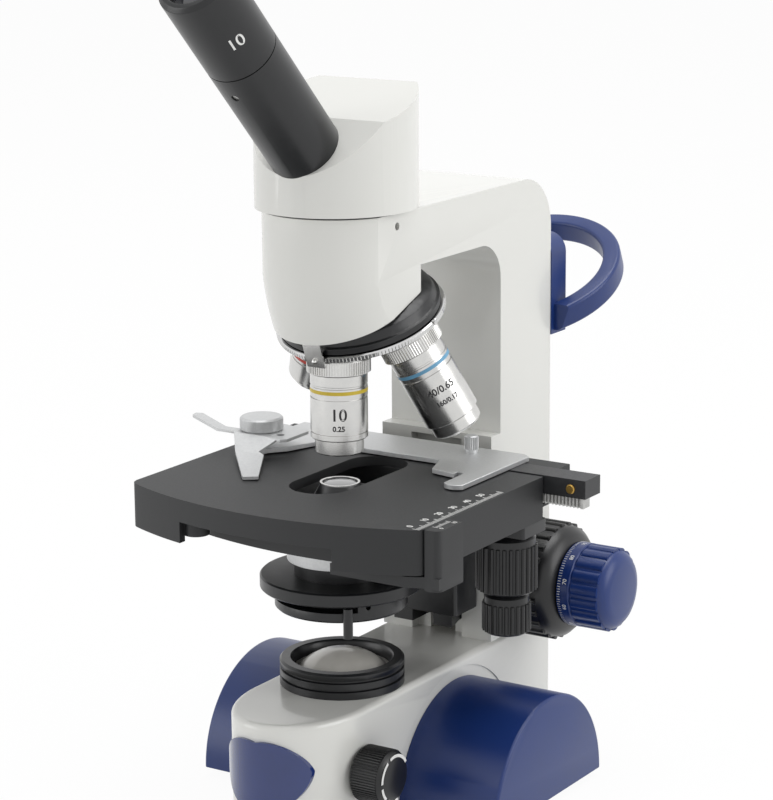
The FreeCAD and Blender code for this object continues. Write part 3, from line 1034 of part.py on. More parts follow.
def make_mechanical_stage():
    """Cross rail on the stage plate, the sliding bar with its rack, and the slide holder."""
    top = STAGE_TOP_Z
    rack_low = top - XRACK_DROP
    floor_top = rack_low - SLIDE_FIT
    floor_low = floor_top - XRAIL_FLOOR_T
    half = STAGE_HALF
    rail = block(-half, half - 0.5, BAR_BACK_Y + SLIDE_FIT, XRAIL_BACK_Y, floor_low, top)
    rail = rail.fuse(block(-half, half - 0.5, XRAIL_FRONT_Y, XRAIL_BACK_Y, floor_low, floor_top))
    rail = rail.fuse(block(-half + STAGE_WALL + 0.1, half - STAGE_WALL - 0.1, XRAIL_FRONT_Y, STAGE_REAR_Y, floor_low, PLATE_LOW_Z))
    rail = rail.cut(rod(PITCH_R + ADDENDUM + 0.6, V(KNOB_X, KNOB_Y, floor_low), V(KNOB_X, KNOB_Y, PLATE_LOW_Z)))
    for x0, x1 in ((-half, -half + STAGE_WALL + 0.1), (half - STAGE_WALL - 0.1, half)):
        rail = rail.cut(block(x0, x1, XRAIL_FRONT_Y, STAGE_REAR_Y, floor_low, floor_top))
    save("cross_rail", rail.removeSplitter())
    bar = block(BAR_LEFT_X, BAR_RIGHT_X, BAR_FRONT_Y, BAR_BACK_Y, top - BAR_DROP, top + BAR_RISE)
    teeth = rack(XRACK_LEFT_X - KNOB_X, BAR_RIGHT_X - 1.0 - KNOB_X, XRACK_DROP - BAR_DROP)
    teeth.Placement = FreeCAD.Placement(V(KNOB_X, KNOB_Y + PITCH_R, top - BAR_DROP), FreeCAD.Rotation(RIGHT, 180))
    save("cross_bar", bar.fuse(teeth))
    low = top + BAR_RISE
    high = low + HOLDER_T
    front = HOLDER_FRONT_Y
    plan = outline((HOLDER_LEFT_X, HOLDER_REAR_Y), (HOLDER_LEFT_X, 16.0), ((CLIP_X, 16.0 - (CLIP_X - HOLDER_LEFT_X)), (-45.0, 16.0)),
                   (-40.0, 22.4), (-35.0, front), (22.8, front), (27.4, 23.2), (38.9, 21.0), (38.4, 24.4), (41.8, 23.9),
                   (42.2, 8.0), ((48.0, 6.0), (HOLDER_RIGHT_X, 8.0)), (HOLDER_RIGHT_X, HOLDER_REAR_Y - 2.5),
                   (HOLDER_RIGHT_X - 3.0, HOLDER_REAR_Y))
    holder = slab(plan, low, high)
    holder = holder.fuse(rod(CLIP_POST_R, V(CLIP_X, CLIP_Y, low), V(CLIP_X, CLIP_Y, CLIP_TOP_Z - 2.0)))
    save("slide_holder", holder)
    screw_top = high + HOLDER_SCREW_H
    save("holder_thumbscrew", turned([(0, high), (HOLDER_SCREW_R, high), (HOLDER_SCREW_R, screw_top - 0.5),
                                      (HOLDER_SCREW_R - 0.5, screw_top), (0, screw_top)],
                                     V(HOLDER_SCREW_X, HOLDER_SCREW_Y, 0)))
    make_clip()


def make_clip():
    """Sprung clip that swings about the holder's post: cap, flat plate with its lever, and a bent blade."""
    x = CLIP_X
    y = CLIP_Y
    top = CLIP_PLATE_Z
    low = top - CLIP_T
    plate = slab(outline((x - 8.3, y - 6.8), (x + 16.1, y - 10.6), (x + 18.4, y - 8.9), (x + 18.1, y + 6.8), (x + 15.2, y + 10.8),
                         (x + 7.7, y + 10.8), ((x - 4.3, y + 9.3), (x - 8.7, y + 0.8))), low, top)
    plate = plate.cut(rod(1.6, V(x + 12.2, y - 4.2, low), V(x + 12.2, y - 4.2, top)))
    lever = slab(outline((x - 6.3, y - 3.4), (x - 15.1, y - 3.4), (x - 36.9, y + 10.4), (x - 39.7, y + 9.4), (x - 38.9, y + 6.0),
                         (x - 16.5, y - 7.9), (x - 6.3, y - 7.9)), low, top)
    tip = STAGE_TOP_Z + SLIDE_FIT
    bend = y - 18.2
    bent = side_slab(outline((y - 7.7, top), (y - 9.4, top), (bend, top - 5.0), (y - 43.6, tip + CLIP_T), (y - 43.6, tip),
                             (bend - 0.4, top - 5.0 - CLIP_T), (y - 10.0, low), (y - 7.7, low)), x - 20.0, x + 40.0)
    blade = slab(outline((x - 8.3, y - 6.7), (x - 6.8, y - 9.6), (x - 0.1, y - 18.3), (x + 20.0, y - 42.0), (x + 21.7, y - 43.6),
                         (x + 26.9, y - 40.7), (x + 13.6, y - 18.1), (x + 10.3, y - 16.9), (x + 13.9, y - 10.7),
                         (x + 15.2, y - 7.2)), STAGE_TOP_Z, top).common(bent)
    cap = turned([(0, low), (CLIP_CAP_R - 1.5, low), (CLIP_CAP_R - 1.5, top), (CLIP_CAP_R - 0.5, top),
                  (CLIP_CAP_R, top + 0.5), (CLIP_CAP_R, CLIP_TOP_Z - 0.7), (CLIP_CAP_R - 0.7, CLIP_TOP_Z), (0, CLIP_TOP_Z)], V(x, y, 0))
    bore = rod(CLIP_POST_R + RUN_FIT, V(x, y, STAGE_TOP_Z), V(x, y, CLIP_TOP_Z - 2.0 + SLIDE_FIT))
    save("clip_finger", plate.fuse(lever).fuse(blade).fuse(cap).cut(bore).removeSplitter())


def make_stage_knobs():
    """Coaxial stage knobs: the upper one on a tube drives the plate, the lower one the holder."""
    axis = V(KNOB_X, KNOB_Y, 0)
    rack_low = STAGE_TOP_Z - XRACK_DROP
    bearing_low = YKNOB_TOP_Z + SLIDE_FIT
    bearing = rounded_block(KNOB_X - 6.2, STAGE_HALF - 0.3, KNOB_Y - 9, KNOB_Y + 9, bearing_low, SKIRT_LOW_Z, 1.3)
    wheel_room = PITCH_R + ADDENDUM + 0.6
    bearing = bearing.cut(rod(wheel_room, axis.add(UP * LOWER_TOP_Z), axis.add(UP * STAGE_TOP_Z)))
    bearing = bearing.cut(rod(YTUBE_R + RUN_FIT, axis, axis.add(UP * STAGE_TOP_Z)))
    save("stage_knob_bearing", bearing)
    upper = turned([(YTUBE_R - 0.5, YKNOB_LOW_Z), (YKNOB_R - 0.8, YKNOB_LOW_Z), (YKNOB_R, YKNOB_LOW_Z + 0.8),
                    (YKNOB_R, YKNOB_TOP_Z - 2.0), (YKNOB_R - 2.0, YKNOB_TOP_Z), (YTUBE_R - 0.5, YKNOB_TOP_Z)], axis)
    save("stage_y_knob", upper.cut(rod(YTUBE_R - PRESS_GAP, axis, axis.add(UP * STAGE_TOP_Z))))
    tube_bore = XSHAFT_R + RUN_FIT
    y_tube = rod(YTUBE_R - 2 * PRESS_GAP, axis.add(UP * YKNOB_LOW_Z), axis.add(UP * (LOWER_TOP_Z + 0.2)))
    y_wheel = toothed_wheel(PINION_TEETH, 0, YPINION_H - 0.4)
    y_wheel.Placement = FreeCAD.Placement(axis.add(UP * (LOWER_TOP_Z + 0.2)), FreeCAD.Rotation(UP, 180))
    y_shaft = y_tube.fuse(y_wheel).cut(rod(tube_bore, axis, axis.add(UP * STAGE_TOP_Z)))
    save("stage_y_pinion", y_shaft)
    gap = SLIDE_FIT
    lower = turned([(0, XKNOB_LOW_Z), (XKNOB_R - 1.2, XKNOB_LOW_Z), (XKNOB_R, XKNOB_LOW_Z + 1.2),
                    (XKNOB_R, YKNOB_LOW_Z - gap - 0.8), (XKNOB_R - 0.8, YKNOB_LOW_Z - gap), (0, YKNOB_LOW_Z - gap)], axis)
    save("stage_x_knob", lower.cut(rod(XSHAFT_R - PRESS_GAP, axis.add(UP * (XKNOB_LOW_Z + 4)), axis.add(UP * STAGE_TOP_Z))))
    x_shaft = rod(XSHAFT_R - 2 * PRESS_GAP, axis.add(UP * (XKNOB_LOW_Z + 4)), axis.add(UP * (rack_low + 0.2)))
    x_wheel = toothed_wheel(PINION_TEETH, 0, XPINION_H)
    x_wheel.Placement = FreeCAD.Placement(axis.add(UP * (rack_low + 0.2)), FreeCAD.Rotation(UP, 90))
    save("stage_x_pinion", x_shaft.fuse(x_wheel))


def middle():
    """The middle of the whole microscope in plan, from clip to cross bar and from eyepiece to handle."""
    left = NODES["clip_finger"].optimalBoundingBox(False).XMin
    right = NODES["cross_bar"].optimalBoundingBox(False).XMax
    front = NODES["eyepiece_body"].optimalBoundingBox(False).YMin
    back = NODES["carrying_handle"].optimalBoundingBox(False).YMax
    return V(round((left + right) / 2, 2), round((front + back) / 2, 2), 0)


def main():
    make_base()
    make_bottom()
    make_covers()
    make_badge()
    make_lamp()
    make_electrics()
    make_arm()
    make_handle()
    make_head()
    make_eyepiece()
    make_nosepiece()
    make_objectives()
    make_stage_plate()
    make_lower_stage()
    make_guide()
    make_focus()
    make_condenser()
    make_mechanical_stage()
    make_stage_knobs()
    centre = middle()
    for name, shape in NODES.items():
        shape.translate(centre * -1)
        shape.exportStep("parts/" + name + ".step")
        print(name, "valid" if shape.isValid() else "NOT VALID", len(shape.Solids), round(shape.Volume, 1))
    print(len(NODES), "nodes, middle", centre)


main()
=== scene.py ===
"""A monocular student microscope with its painted, moulded, turned and printed surfaces."""
import math
import bmesh
import bpy
from bpy.props import FloatProperty, FloatVectorProperty, IntProperty, PointerProperty, StringProperty
from mathutils import Matrix, Vector


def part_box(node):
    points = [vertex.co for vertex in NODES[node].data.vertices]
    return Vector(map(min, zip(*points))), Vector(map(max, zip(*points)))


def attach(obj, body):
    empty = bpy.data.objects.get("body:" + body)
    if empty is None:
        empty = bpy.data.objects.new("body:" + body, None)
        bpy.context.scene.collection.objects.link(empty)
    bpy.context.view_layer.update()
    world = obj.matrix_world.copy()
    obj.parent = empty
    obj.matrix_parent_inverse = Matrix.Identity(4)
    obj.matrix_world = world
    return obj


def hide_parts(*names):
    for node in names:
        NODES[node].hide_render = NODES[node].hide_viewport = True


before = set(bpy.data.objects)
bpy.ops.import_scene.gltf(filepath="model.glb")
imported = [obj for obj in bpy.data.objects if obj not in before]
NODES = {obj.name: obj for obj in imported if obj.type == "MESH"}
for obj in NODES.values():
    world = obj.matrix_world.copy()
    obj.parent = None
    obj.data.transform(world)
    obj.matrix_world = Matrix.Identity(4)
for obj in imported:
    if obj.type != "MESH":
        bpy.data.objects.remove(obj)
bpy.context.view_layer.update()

bl_info = {
    "name": "Student microscope",
    "version": (1, 0, 0),
    "blender": (4, 5, 0),
    "location": "View3D > Sidebar > Microscope",
    "description": "Makes the dressed pieces of a monocular student microscope on its packed frame",
    "category": "Object",
}

# Lengths below are millimetres from the point of the bench under the optical axis.
OPTIC = [(a + b) / 2 for a, b in zip(*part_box("lamp_collar"))][:2] + [0]
TO_ROW = Matrix.Translation(OPTIC) @ Matrix.Scale(0.001, 4)
MATERIALS = {}

TUBE_AXIS = Vector((0, -1, 1)).normalized()
NOSE_TILT = math.radians(20.7)
NOSE_AXIS = Vector((0, math.sin(NOSE_TILT), -math.cos(NOSE_TILT)))
NOSE_APEX = Vector((0, 0, 238.7))
RIM_FROM_APEX = 43.4
SHOULDER_FROM_APEX = 54.8
CLIP_POST = Vector((-51.7, 21.2, 0))


def low(node, axis):
    """A node's lowest place along an axis, in millimetres from the optical axis."""
    return (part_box(node)[0][axis] - OPTIC[axis]) * 1000


def high(node, axis):
    """A node's highest place along an axis, in millimetres from the optical axis."""
    return (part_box(node)[1][axis] - OPTIC[axis]) * 1000


def middle(node):
    """The middle of a node's box, in millimetres from the optical axis."""
    return Vector([(low(node, a) + high(node, a)) / 2 for a in range(3)])


def linear(colour):
    """Linear light of an sRGB hex colour such as #1A2B3C."""
    parts = [int(colour[i:i + 2], 16) / 255 for i in (1, 3, 5)]
    return [p / 12.92 if p <= 0.04045 else ((p + 0.055) / 1.055) ** 2.4 for p in parts] + [1.0]


def add_node(tree, kind, inputs=None, **settings):
    """Adds one node, with its settings, its values and what feeds it."""
    made = tree.nodes.new(kind)
    for name, value in settings.items():
        setattr(made, name, value)
    for key, value in (inputs or {}).items():
        if isinstance(value, bpy.types.NodeSocket):
            tree.links.new(value, made.inputs[key])
        else:
            made.inputs[key].default_value = value
    return made


def new_material(name):
    """An empty material and its tree; it is listed under its name."""
    material = bpy.data.materials.new(name)
    material.use_nodes = True
    material.node_tree.nodes.clear()
    MATERIALS[name] = material
    return material.node_tree


def close_material(tree, shader):
    """Joins a shader to its material's output."""
    add_node(tree, "ShaderNodeOutputMaterial", {"Surface": shader.outputs[0]})


def flecks(tree, scale, low_colour, high_colour, detail=3.0):
    """A fine cloudy mix of two near colours, on the piece's own coordinates in metres."""
    place = add_node(tree, "ShaderNodeTexCoord")
    noise = add_node(tree, "ShaderNodeTexNoise", {
        "Vector": place.outputs["Object"], "Scale": scale, "Detail": detail})
    mix = add_node(tree, "ShaderNodeMix", {"Factor": noise.outputs["Fac"], "A": linear(low_colour),
                                           "B": linear(high_colour)}, data_type="RGBA")
    return noise.outputs["Fac"], mix.outputs["Result"]


def worn(tree, fac, low_value, high_value):
    """Roughness that wanders between two values with a noise."""
    spread = add_node(tree, "ShaderNodeMapRange", {"Value": fac, "To Min": low_value, "To Max": high_value})
    return spread.outputs["Result"]


def finish_of(name, scale, low_colour, high_colour, rough, grain, height, metallic=0.0, coat=0.0, aniso=0.0):
    """A surface with colour clouds, wandering roughness and a fine grain standing out of it."""
    tree = new_material(name)
    fac, colour = flecks(tree, scale, low_colour, high_colour)
    place = add_node(tree, "ShaderNodeTexCoord")
    grit = add_node(tree, "ShaderNodeTexNoise", {
        "Vector": place.outputs["Object"], "Scale": grain, "Detail": 2.0})
    bump = add_node(tree, "ShaderNodeBump", {
        "Height": grit.outputs["Fac"], "Distance": height, "Strength": 1.0})
    shader = add_node(tree, "ShaderNodeBsdfPrincipled", {
        "Base Color": colour, "Roughness": worn(tree, fac, rough[0], rough[1]), "Metallic": metallic,
        "Coat Weight": coat, "Anisotropic": aniso, "Normal": bump.outputs["Normal"]})
    close_material(tree, shader)


def make_finishes(look):
    """Every finish of the microscope, each named for what the real surface is."""
    # Baked enamel on a cast arm: near white, glossy, with a very faint orange peel about 1.5 mm wide.
    finish_of("white_enamel", 12, look.enamel_low, look.enamel_high, (0.2, 0.25), 700, 0.000004, coat=0.35)
    # Injection-moulded ABS in deep blue: satin, with spark-eroded grain of about 0.4 mm.
    finish_of("blue_abs", 60, look.blue_low, look.blue_high, (0.30, 0.38), 2600, 0.000006)
    # The bare badge is glossy blue with a clear coat.
    finish_of("badge_gloss", 60, "#14285E", "#1A3070", (0.12, 0.2), 900, 0.000002, coat=0.6)
    # Powder coat in charcoal: matte, with a crisp speckle of about 0.5 mm.
    finish_of("charcoal_powder_coat", 1500, look.stage_low, look.stage_high, (0.48, 0.6), 2200, 0.000022)
    # Black anodised aluminium tubes: even, satin, slightly blue-grey where light falls on it.
    finish_of("black_anodised", 300, "#131416", "#191A1C", (0.28, 0.36), 3000, 0.000003)
    # Black moulded grips: nylon with a soft sheen.
    finish_of("black_nylon", 120, "#0B0B0D", "#101113", (0.28, 0.38), 1800, 0.000005)
    # Bead-blasted aluminium: pale grey metal without direction, speckled finely.
    finish_of("blasted_aluminium", 900, "#B9BABB", "#CFD0D0", (0.38, 0.5), 2400, 0.000010, metallic=0.85)
    # Satin chrome on turned brass barrels: brighter than aluminium.
    finish_of("satin_chrome", 200, "#C9C9C8", "#DAD9D6", (0.2, 0.3), 2400, 0.000003, metallic=1.0, aniso=0.4)
    # Polished chrome of the nosepiece.
    finish_of("polished_chrome", 60, "#C4C4C4", "#D6D6D6", (0.08, 0.14), 900, 0.000001, metallic=1.0)
    # Ground steel of shafts and screws.
    finish_of("ground_steel", 300, "#9A9A98", "#B0B0AE", (0.25, 0.4), 1800, 0.000005, metallic=1.0)
    # Spring brass, slightly tarnished.
    finish_of("spring_brass", 300, "#9C7A3A", "#C7A45C", (0.22, 0.4), 1400, 0.000004, metallic=1.0)
    # Soft black rubber.
    finish_of("rubber_black", 200, "#161616", "#202020", (0.7, 0.85), 1600, 0.000010)
    # Pad-printed white ink.
    finish_of("white_ink", 400, "#D8D8D6", "#E6E6E4", (0.5, 0.6), 1500, 0.000002)
    finish_of("black_ink", 400, "#1C1C1E", "#242426", (0.4, 0.5), 1500, 0.000002)
    # Coloured rings that tell the objectives apart.
    finish_of("ring_yellow", 400, "#C9AE2C", "#D8BE3C", (0.3, 0.4), 1500, 0.000002)
    finish_of("ring_blue", 400, "#5C93B5", "#6CA3C4", (0.3, 0.4), 1500, 0.000002)
    finish_of("ring_red", 400, "#B03A30", "#C04A3E", (0.3, 0.4), 1500, 0.000002)
    # Glass-fibre circuit board.
    finish_of("circuit_board", 900, "#1D5A2C", "#2A6D3A", (0.4, 0.5), 2400, 0.000004)
    make_lamp_glass()
    make_clear_glass()
    make_rail_paint()


def make_lamp_glass():
    """Frosted dome over the lamp: pearly white, with a soft coat of gloss."""
    tree = new_material("frosted_dome")
    fac, colour = flecks(tree, 220, "#C9C6BF", "#DAD7D0")
    place = add_node(tree, "ShaderNodeTexCoord")
    grit = add_node(tree, "ShaderNodeTexNoise", {"Vector": place.outputs["Object"], "Scale": 3200.0})
    bump = add_node(tree, "ShaderNodeBump", {"Height": grit.outputs["Fac"], "Distance": 0.00001})
    shader = add_node(tree, "ShaderNodeBsdfPrincipled", {
        "Base Color": colour, "Roughness": worn(tree, fac, 0.28, 0.4), "Metallic": 0.1, "Coat Weight": 0.5,
        "Normal": bump.outputs["Normal"]})
    close_material(tree, shader)


def make_clear_glass():
    """Coated lens glass: dark, with a sharp faintly violet reflection."""
    tree = new_material("coated_glass")
    fac, colour = flecks(tree, 90, "#1B1C22", "#26262E")
    shader = add_node(tree, "ShaderNodeBsdfPrincipled", {
        "Base Color": colour, "Roughness": worn(tree, fac, 0.03, 0.06), "IOR": 1.52, "Coat Weight": 1.0})
    close_material(tree, shader)


def make_rail_paint():
    """The cross bar: black paint above, bare milled rack below its lower edge."""
    tree = new_material("bar_paint_and_rack")
    fac, black = flecks(tree, 900, "#1A1B1D", "#232426")
    bare = flecks(tree, 500, "#A9A9A7", "#C4C4C2")[1]
    place = add_node(tree, "ShaderNodeTexCoord")
    height = add_node(tree, "ShaderNodeSeparateXYZ", {"Vector": place.outputs["Object"]})
    above = add_node(tree, "ShaderNodeMath", {0: height.outputs["Z"], 1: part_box("cross_bar")[1][2] - 0.0075},
                     operation="GREATER_THAN")
    colour = add_node(tree, "ShaderNodeMix", {"Factor": above.outputs[0], "A": bare, "B": black},
                      data_type="RGBA")
    metal = add_node(tree, "ShaderNodeMath", {0: 1.0, 1: above.outputs[0]}, operation="SUBTRACT")
    shader = add_node(tree, "ShaderNodeBsdfPrincipled", {
        "Base Color": colour.outputs["Result"], "Roughness": worn(tree, fac, 0.35, 0.5),
        "Metallic": metal.outputs[0]})
    close_material(tree, shader)


def piece_from(bm, name, material, body, smooth=32.0, replaces=()):
    """Makes a mesh in millimetres into a finished piece that rides on a body."""
    mesh = bpy.data.meshes.new(name)
    bm.transform(TO_ROW)
    bm.to_mesh(mesh)
    bm.free()
    piece = bpy.data.objects.new(name, mesh)
    bpy.context.scene.collection.objects.link(piece)
    if material:
        mesh.materials.append(MATERIALS[material])
    mesh.shade_smooth()
    mesh.set_sharp_from_angle(angle=math.radians(smooth))
    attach(piece, body)
    if replaces:
        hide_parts(*replaces)
    return piece


def axis_place(origin, axis, toward=Vector((0, 0, 1))):
    """Puts a shape that stands on Z at the origin onto an axis, its X side turned towards a direction."""
    z = Vector(axis).normalized()
    x = Vector(toward) - z * Vector(toward).dot(z)
    if x.length < 1e-6:
        x = Vector((1, 0, 0)) - z * z.x
    x.normalize()
    y = z.cross(x)
    turn = Matrix((x, y, z)).transposed().to_4x4()
    return Matrix.Translation(origin) @ turn


def turned(profile, place=Matrix(), steps=96):
    """A closed shape turned from (radius, height) points about Z, then put in place."""
    bm = bmesh.new()
    rings = []
    for radius, height in profile:
        if radius < 1e-6:
            rings.append([bm.verts.new((0, 0, height))])
        else:
            turns = [2 * math.pi * i / steps for i in range(steps)]
            rings.append([bm.verts.new((radius * math.cos(a), radius * math.sin(a), height)) for a in turns])
    for here, there in zip(rings, rings[1:] + rings[:1]):
        for i in range(steps):
            j = (i + 1) % steps
            corners = [here[i % len(here)], here[j % len(here)], there[j % len(there)], there[i % len(there)]]
            corners = list(dict.fromkeys(corners))
            if len(corners) > 2:
                bm.faces.new(corners)
    bmesh.ops.recalc_face_normals(bm, faces=bm.faces)
    bm.transform(place)
    return bm


def add_mesh(bm, mesh, place=Matrix()):
    """Adds a mesh to a growing one, moved by a matrix."""
    part = bmesh.new()
    part.from_mesh(mesh)
    part.transform(place)
    clean = bpy.data.meshes.new("part")
    part.to_mesh(clean)
    part.free()
    bm.from_mesh(clean)
    bpy.data.meshes.remove(clean)


def join(*parts):
    """Several meshes in one."""
    whole = parts[0]
    for part in parts[1:]:
        mesh = bpy.data.meshes.new("part")
        part.to_mesh(mesh)
        part.free()
        whole.from_mesh(mesh)
        bpy.data.meshes.remove(mesh)
    return whole


def ring_tree():
    """Geometry nodes: copies of one rounded rib round a circle, each facing outwards."""
    tree = bpy.data.node_groups.get("rib_ring")
    if tree:
        return tree
    tree = bpy.data.node_groups.new("rib_ring", "GeometryNodeTree")
    tree.interface.new_socket("Geometry", in_out="OUTPUT", socket_type="NodeSocketGeometry")
    for label, kind, value in (("Count", "NodeSocketInt", 20), ("Radius", "NodeSocketFloat", 10.0),
                               ("Width", "NodeSocketFloat", 1.0), ("Depth", "NodeSocketFloat", 1.0),
                               ("Height", "NodeSocketFloat", 5.0), ("Sides", "NodeSocketInt", 10)):
        tree.interface.new_socket(label, in_out="INPUT", socket_type=kind).default_value = value
    tree.interface.new_socket("Material", in_out="INPUT", socket_type="NodeSocketMaterial")
    given = add_node(tree, "NodeGroupInput").outputs
    circle = add_node(tree, "GeometryNodeMeshCircle", {"Vertices": given["Count"], "Radius": given["Radius"]})
    rib = add_node(tree, "GeometryNodeMeshCylinder", {
        "Vertices": given["Sides"], "Radius": 0.5, "Depth": 1.0})
    size = add_node(tree, "ShaderNodeCombineXYZ", {
        "X": given["Depth"], "Y": given["Width"], "Z": given["Height"]})
    shaped = add_node(tree, "GeometryNodeTransform", {
        "Geometry": rib.outputs["Mesh"], "Scale": size.outputs[0]})
    spot = add_node(tree, "GeometryNodeInputPosition")
    facing = add_node(tree, "FunctionNodeAlignRotationToVector", {"Vector": spot.outputs[0]}, axis="X")
    copies = add_node(tree, "GeometryNodeInstanceOnPoints", {
        "Points": circle.outputs["Mesh"], "Instance": shaped.outputs["Geometry"],
        "Rotation": facing.outputs[0]})
    real = add_node(tree, "GeometryNodeRealizeInstances", {"Geometry": copies.outputs["Instances"]})
    painted = add_node(tree, "GeometryNodeSetMaterial", {"Geometry": real.outputs["Geometry"],
                                                         "Material": given["Material"]})
    add_node(tree, "NodeGroupOutput", {"Geometry": painted.outputs["Geometry"]})
    return tree


def tick_tree():
    """Geometry nodes: a row of printed lines, every fifth and tenth one longer."""
    tree = bpy.data.node_groups.get("tick_row")
    if tree:
        return tree
    tree = bpy.data.node_groups.new("tick_row", "GeometryNodeTree")
    tree.interface.new_socket("Geometry", in_out="OUTPUT", socket_type="NodeSocketGeometry")
    for label, kind, value in (("Count", "NodeSocketInt", 61), ("Step", "NodeSocketFloat", 1.0),
                               ("Short", "NodeSocketFloat", 1.6), ("Long", "NodeSocketFloat", 2.8),
                               ("Line", "NodeSocketFloat", 0.3), ("Every", "NodeSocketInt", 5)):
        tree.interface.new_socket(label, in_out="INPUT", socket_type=kind).default_value = value
    tree.interface.new_socket("Material", in_out="INPUT", socket_type="NodeSocketMaterial")
    given = add_node(tree, "NodeGroupInput").outputs
    step = add_node(tree, "ShaderNodeCombineXYZ", {"Y": given["Step"]})
    row = add_node(tree, "GeometryNodeMeshLine", {"Count": given["Count"], "Offset": step.outputs[0]})
    index = add_node(tree, "GeometryNodeInputIndex")
    left_over = add_node(tree, "ShaderNodeMath", {0: index.outputs[0], 1: given["Every"]}, operation="MODULO")
    marked = add_node(tree, "ShaderNodeMath", {0: left_over.outputs[0], 1: 0.5}, operation="LESS_THAN")
    length = add_node(tree, "ShaderNodeMapRange", {"Value": marked.outputs[0], "To Min": given["Short"],
                                                   "To Max": given["Long"]})
    size = add_node(tree, "ShaderNodeCombineXYZ", {
        "X": length.outputs["Result"], "Y": given["Line"], "Z": 0.06})
    bar = add_node(tree, "GeometryNodeMeshCube", {"Size": (1.0, 1.0, 1.0)})
    moved = add_node(tree, "GeometryNodeTransform", {
        "Geometry": bar.outputs["Mesh"], "Translation": (-0.5, 0, 0)})
    copies = add_node(tree, "GeometryNodeInstanceOnPoints", {
        "Points": row.outputs["Mesh"], "Instance": moved.outputs["Geometry"], "Scale": size.outputs[0]})
    real = add_node(tree, "GeometryNodeRealizeInstances", {"Geometry": copies.outputs["Instances"]})
    painted = add_node(tree, "GeometryNodeSetMaterial", {"Geometry": real.outputs["Geometry"],
                                                         "Material": given["Material"]})
    add_node(tree, "NodeGroupOutput", {"Geometry": painted.outputs["Geometry"]})
    return tree


def grown(tree, material, **values):
    """The plain mesh that a geometry nodes tree makes with the given inputs."""
    holder = bpy.data.objects.new("holder", bpy.data.meshes.new("holder"))
    bpy.context.scene.collection.objects.link(holder)
    modifier = holder.modifiers.new("grow", "NODES")
    modifier.node_group = tree
    for socket in tree.interface.items_tree:
        if socket.in_out == "INPUT" and socket.name in values:
            modifier[socket.identifier] = values[socket.name]
        if socket.in_out == "INPUT" and socket.name == "Material":
            modifier[socket.identifier] = MATERIALS[material]
    seen = holder.evaluated_get(bpy.context.evaluated_depsgraph_get())
    mesh = bpy.data.meshes.new_from_object(seen)
    holder.modifiers.remove(modifier)
    bpy.data.objects.remove(holder)
    return mesh


def ribs(place, material, count, radius, width, depth, z0, z1, sides=10):
    """A ring of ribs between two heights, as a mesh in place."""
    mesh = grown(ring_tree(), material, Count=count, Radius=radius, Width=width, Depth=depth, Height=z1 - z0,
                 Sides=sides)
    bm = bmesh.new()
    add_mesh(bm, mesh, place @ Matrix.Translation((0, 0, (z0 + z1) / 2)))
    bpy.data.meshes.remove(mesh)
    return bm


def lettering(text, size, spacing=1.0, thick=0.03, weight=0.0):
    """Numbers as a flat mesh in the XY plane, centred on the origin."""
    curve = bpy.data.curves.new("lettering", "FONT")
    curve.body = text
    curve.size = size
    curve.align_x = "CENTER"
    curve.align_y = "CENTER"
    curve.space_character = spacing
    curve.extrude = thick
    curve.offset = weight
    curve.resolution_u = 4
    holder = bpy.data.objects.new("lettering", curve)
    bpy.context.scene.collection.objects.link(holder)
    mesh = bpy.data.meshes.new_from_object(holder.evaluated_get(bpy.context.evaluated_depsgraph_get()))
    bpy.data.objects.remove(holder)
    bpy.data.curves.remove(curve)
    bm = bmesh.new()
    bm.from_mesh(mesh)
    bpy.data.meshes.remove(mesh)
    bmesh.ops.triangulate(bm, faces=bm.faces)
    return bm


def wrapped(bm, radius, height, turn):
    """Bends a flat mesh round a barrel about Z: its X runs round it and its Y up it."""
    for vert in bm.verts:
        angle = turn + vert.co.x / radius
        out = radius + vert.co.z
        vert.co = Vector((out * math.cos(angle), out * math.sin(angle), height + vert.co.y))
    return bm


def dressed(node, name, material, body, bevel=0.0, smooth=30.0, segments=2):
    """A copy of a CAD node with merged faces and softened edges, which stands for the node."""
    bm = bmesh.new()
    bm.from_mesh(NODES[node].data)
    bmesh.ops.remove_doubles(bm, verts=bm.verts, dist=1e-6)
    bmesh.ops.dissolve_limit(bm, angle_limit=math.radians(0.6), verts=bm.verts, edges=bm.edges)
    mesh = bpy.data.meshes.new(name)
    bm.to_mesh(mesh)
    bm.free()
    piece = bpy.data.objects.new(name, mesh)
    bpy.context.scene.collection.objects.link(piece)
    mesh.materials.append(MATERIALS[material])
    mesh.shade_smooth()
    mesh.set_sharp_from_angle(angle=math.radians(smooth))
    if bevel:
        soft = piece.modifiers.new("edges", "BEVEL")
        soft.width = bevel / 1000
        soft.segments = segments
        soft.limit_method = "ANGLE"
        soft.angle_limit = math.radians(40)
        soft.harden_normals = True
        soft.use_clamp_overlap = True
    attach(piece, body)
    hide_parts(node)
    return piece


def paint(node, material):
    """Gives a CAD node a finish in place of its plain colour."""
    mesh_object = NODES[node]
    if not mesh_object.material_slots:
        mesh_object.data.materials.append(MATERIALS[material])
    for slot in mesh_object.material_slots:
        slot.material = MATERIALS[material]


class LookSettings(bpy.types.PropertyGroup):
    """Colours that a user may change."""
    enamel_low: StringProperty(name="Enamel shade", description="Darker cloud of the white enamel",
                               default="#D8D8D3")
    enamel_high: StringProperty(name="Enamel light", description="Lighter cloud of the white enamel",
                                default="#DADAD6")
    blue_low: StringProperty(name="Blue shade", description="Darker cloud of the blue plastic",
                             default="#102A63")
    blue_high: StringProperty(name="Blue light", description="Lighter cloud of the blue plastic",
                              default="#14306E")
    stage_low: StringProperty(name="Stage shade", description="Darker speckle of the stage",
                              default="#151617")
    stage_high: StringProperty(name="Stage light", description="Lighter speckle of the stage",
                               default="#1F2022")


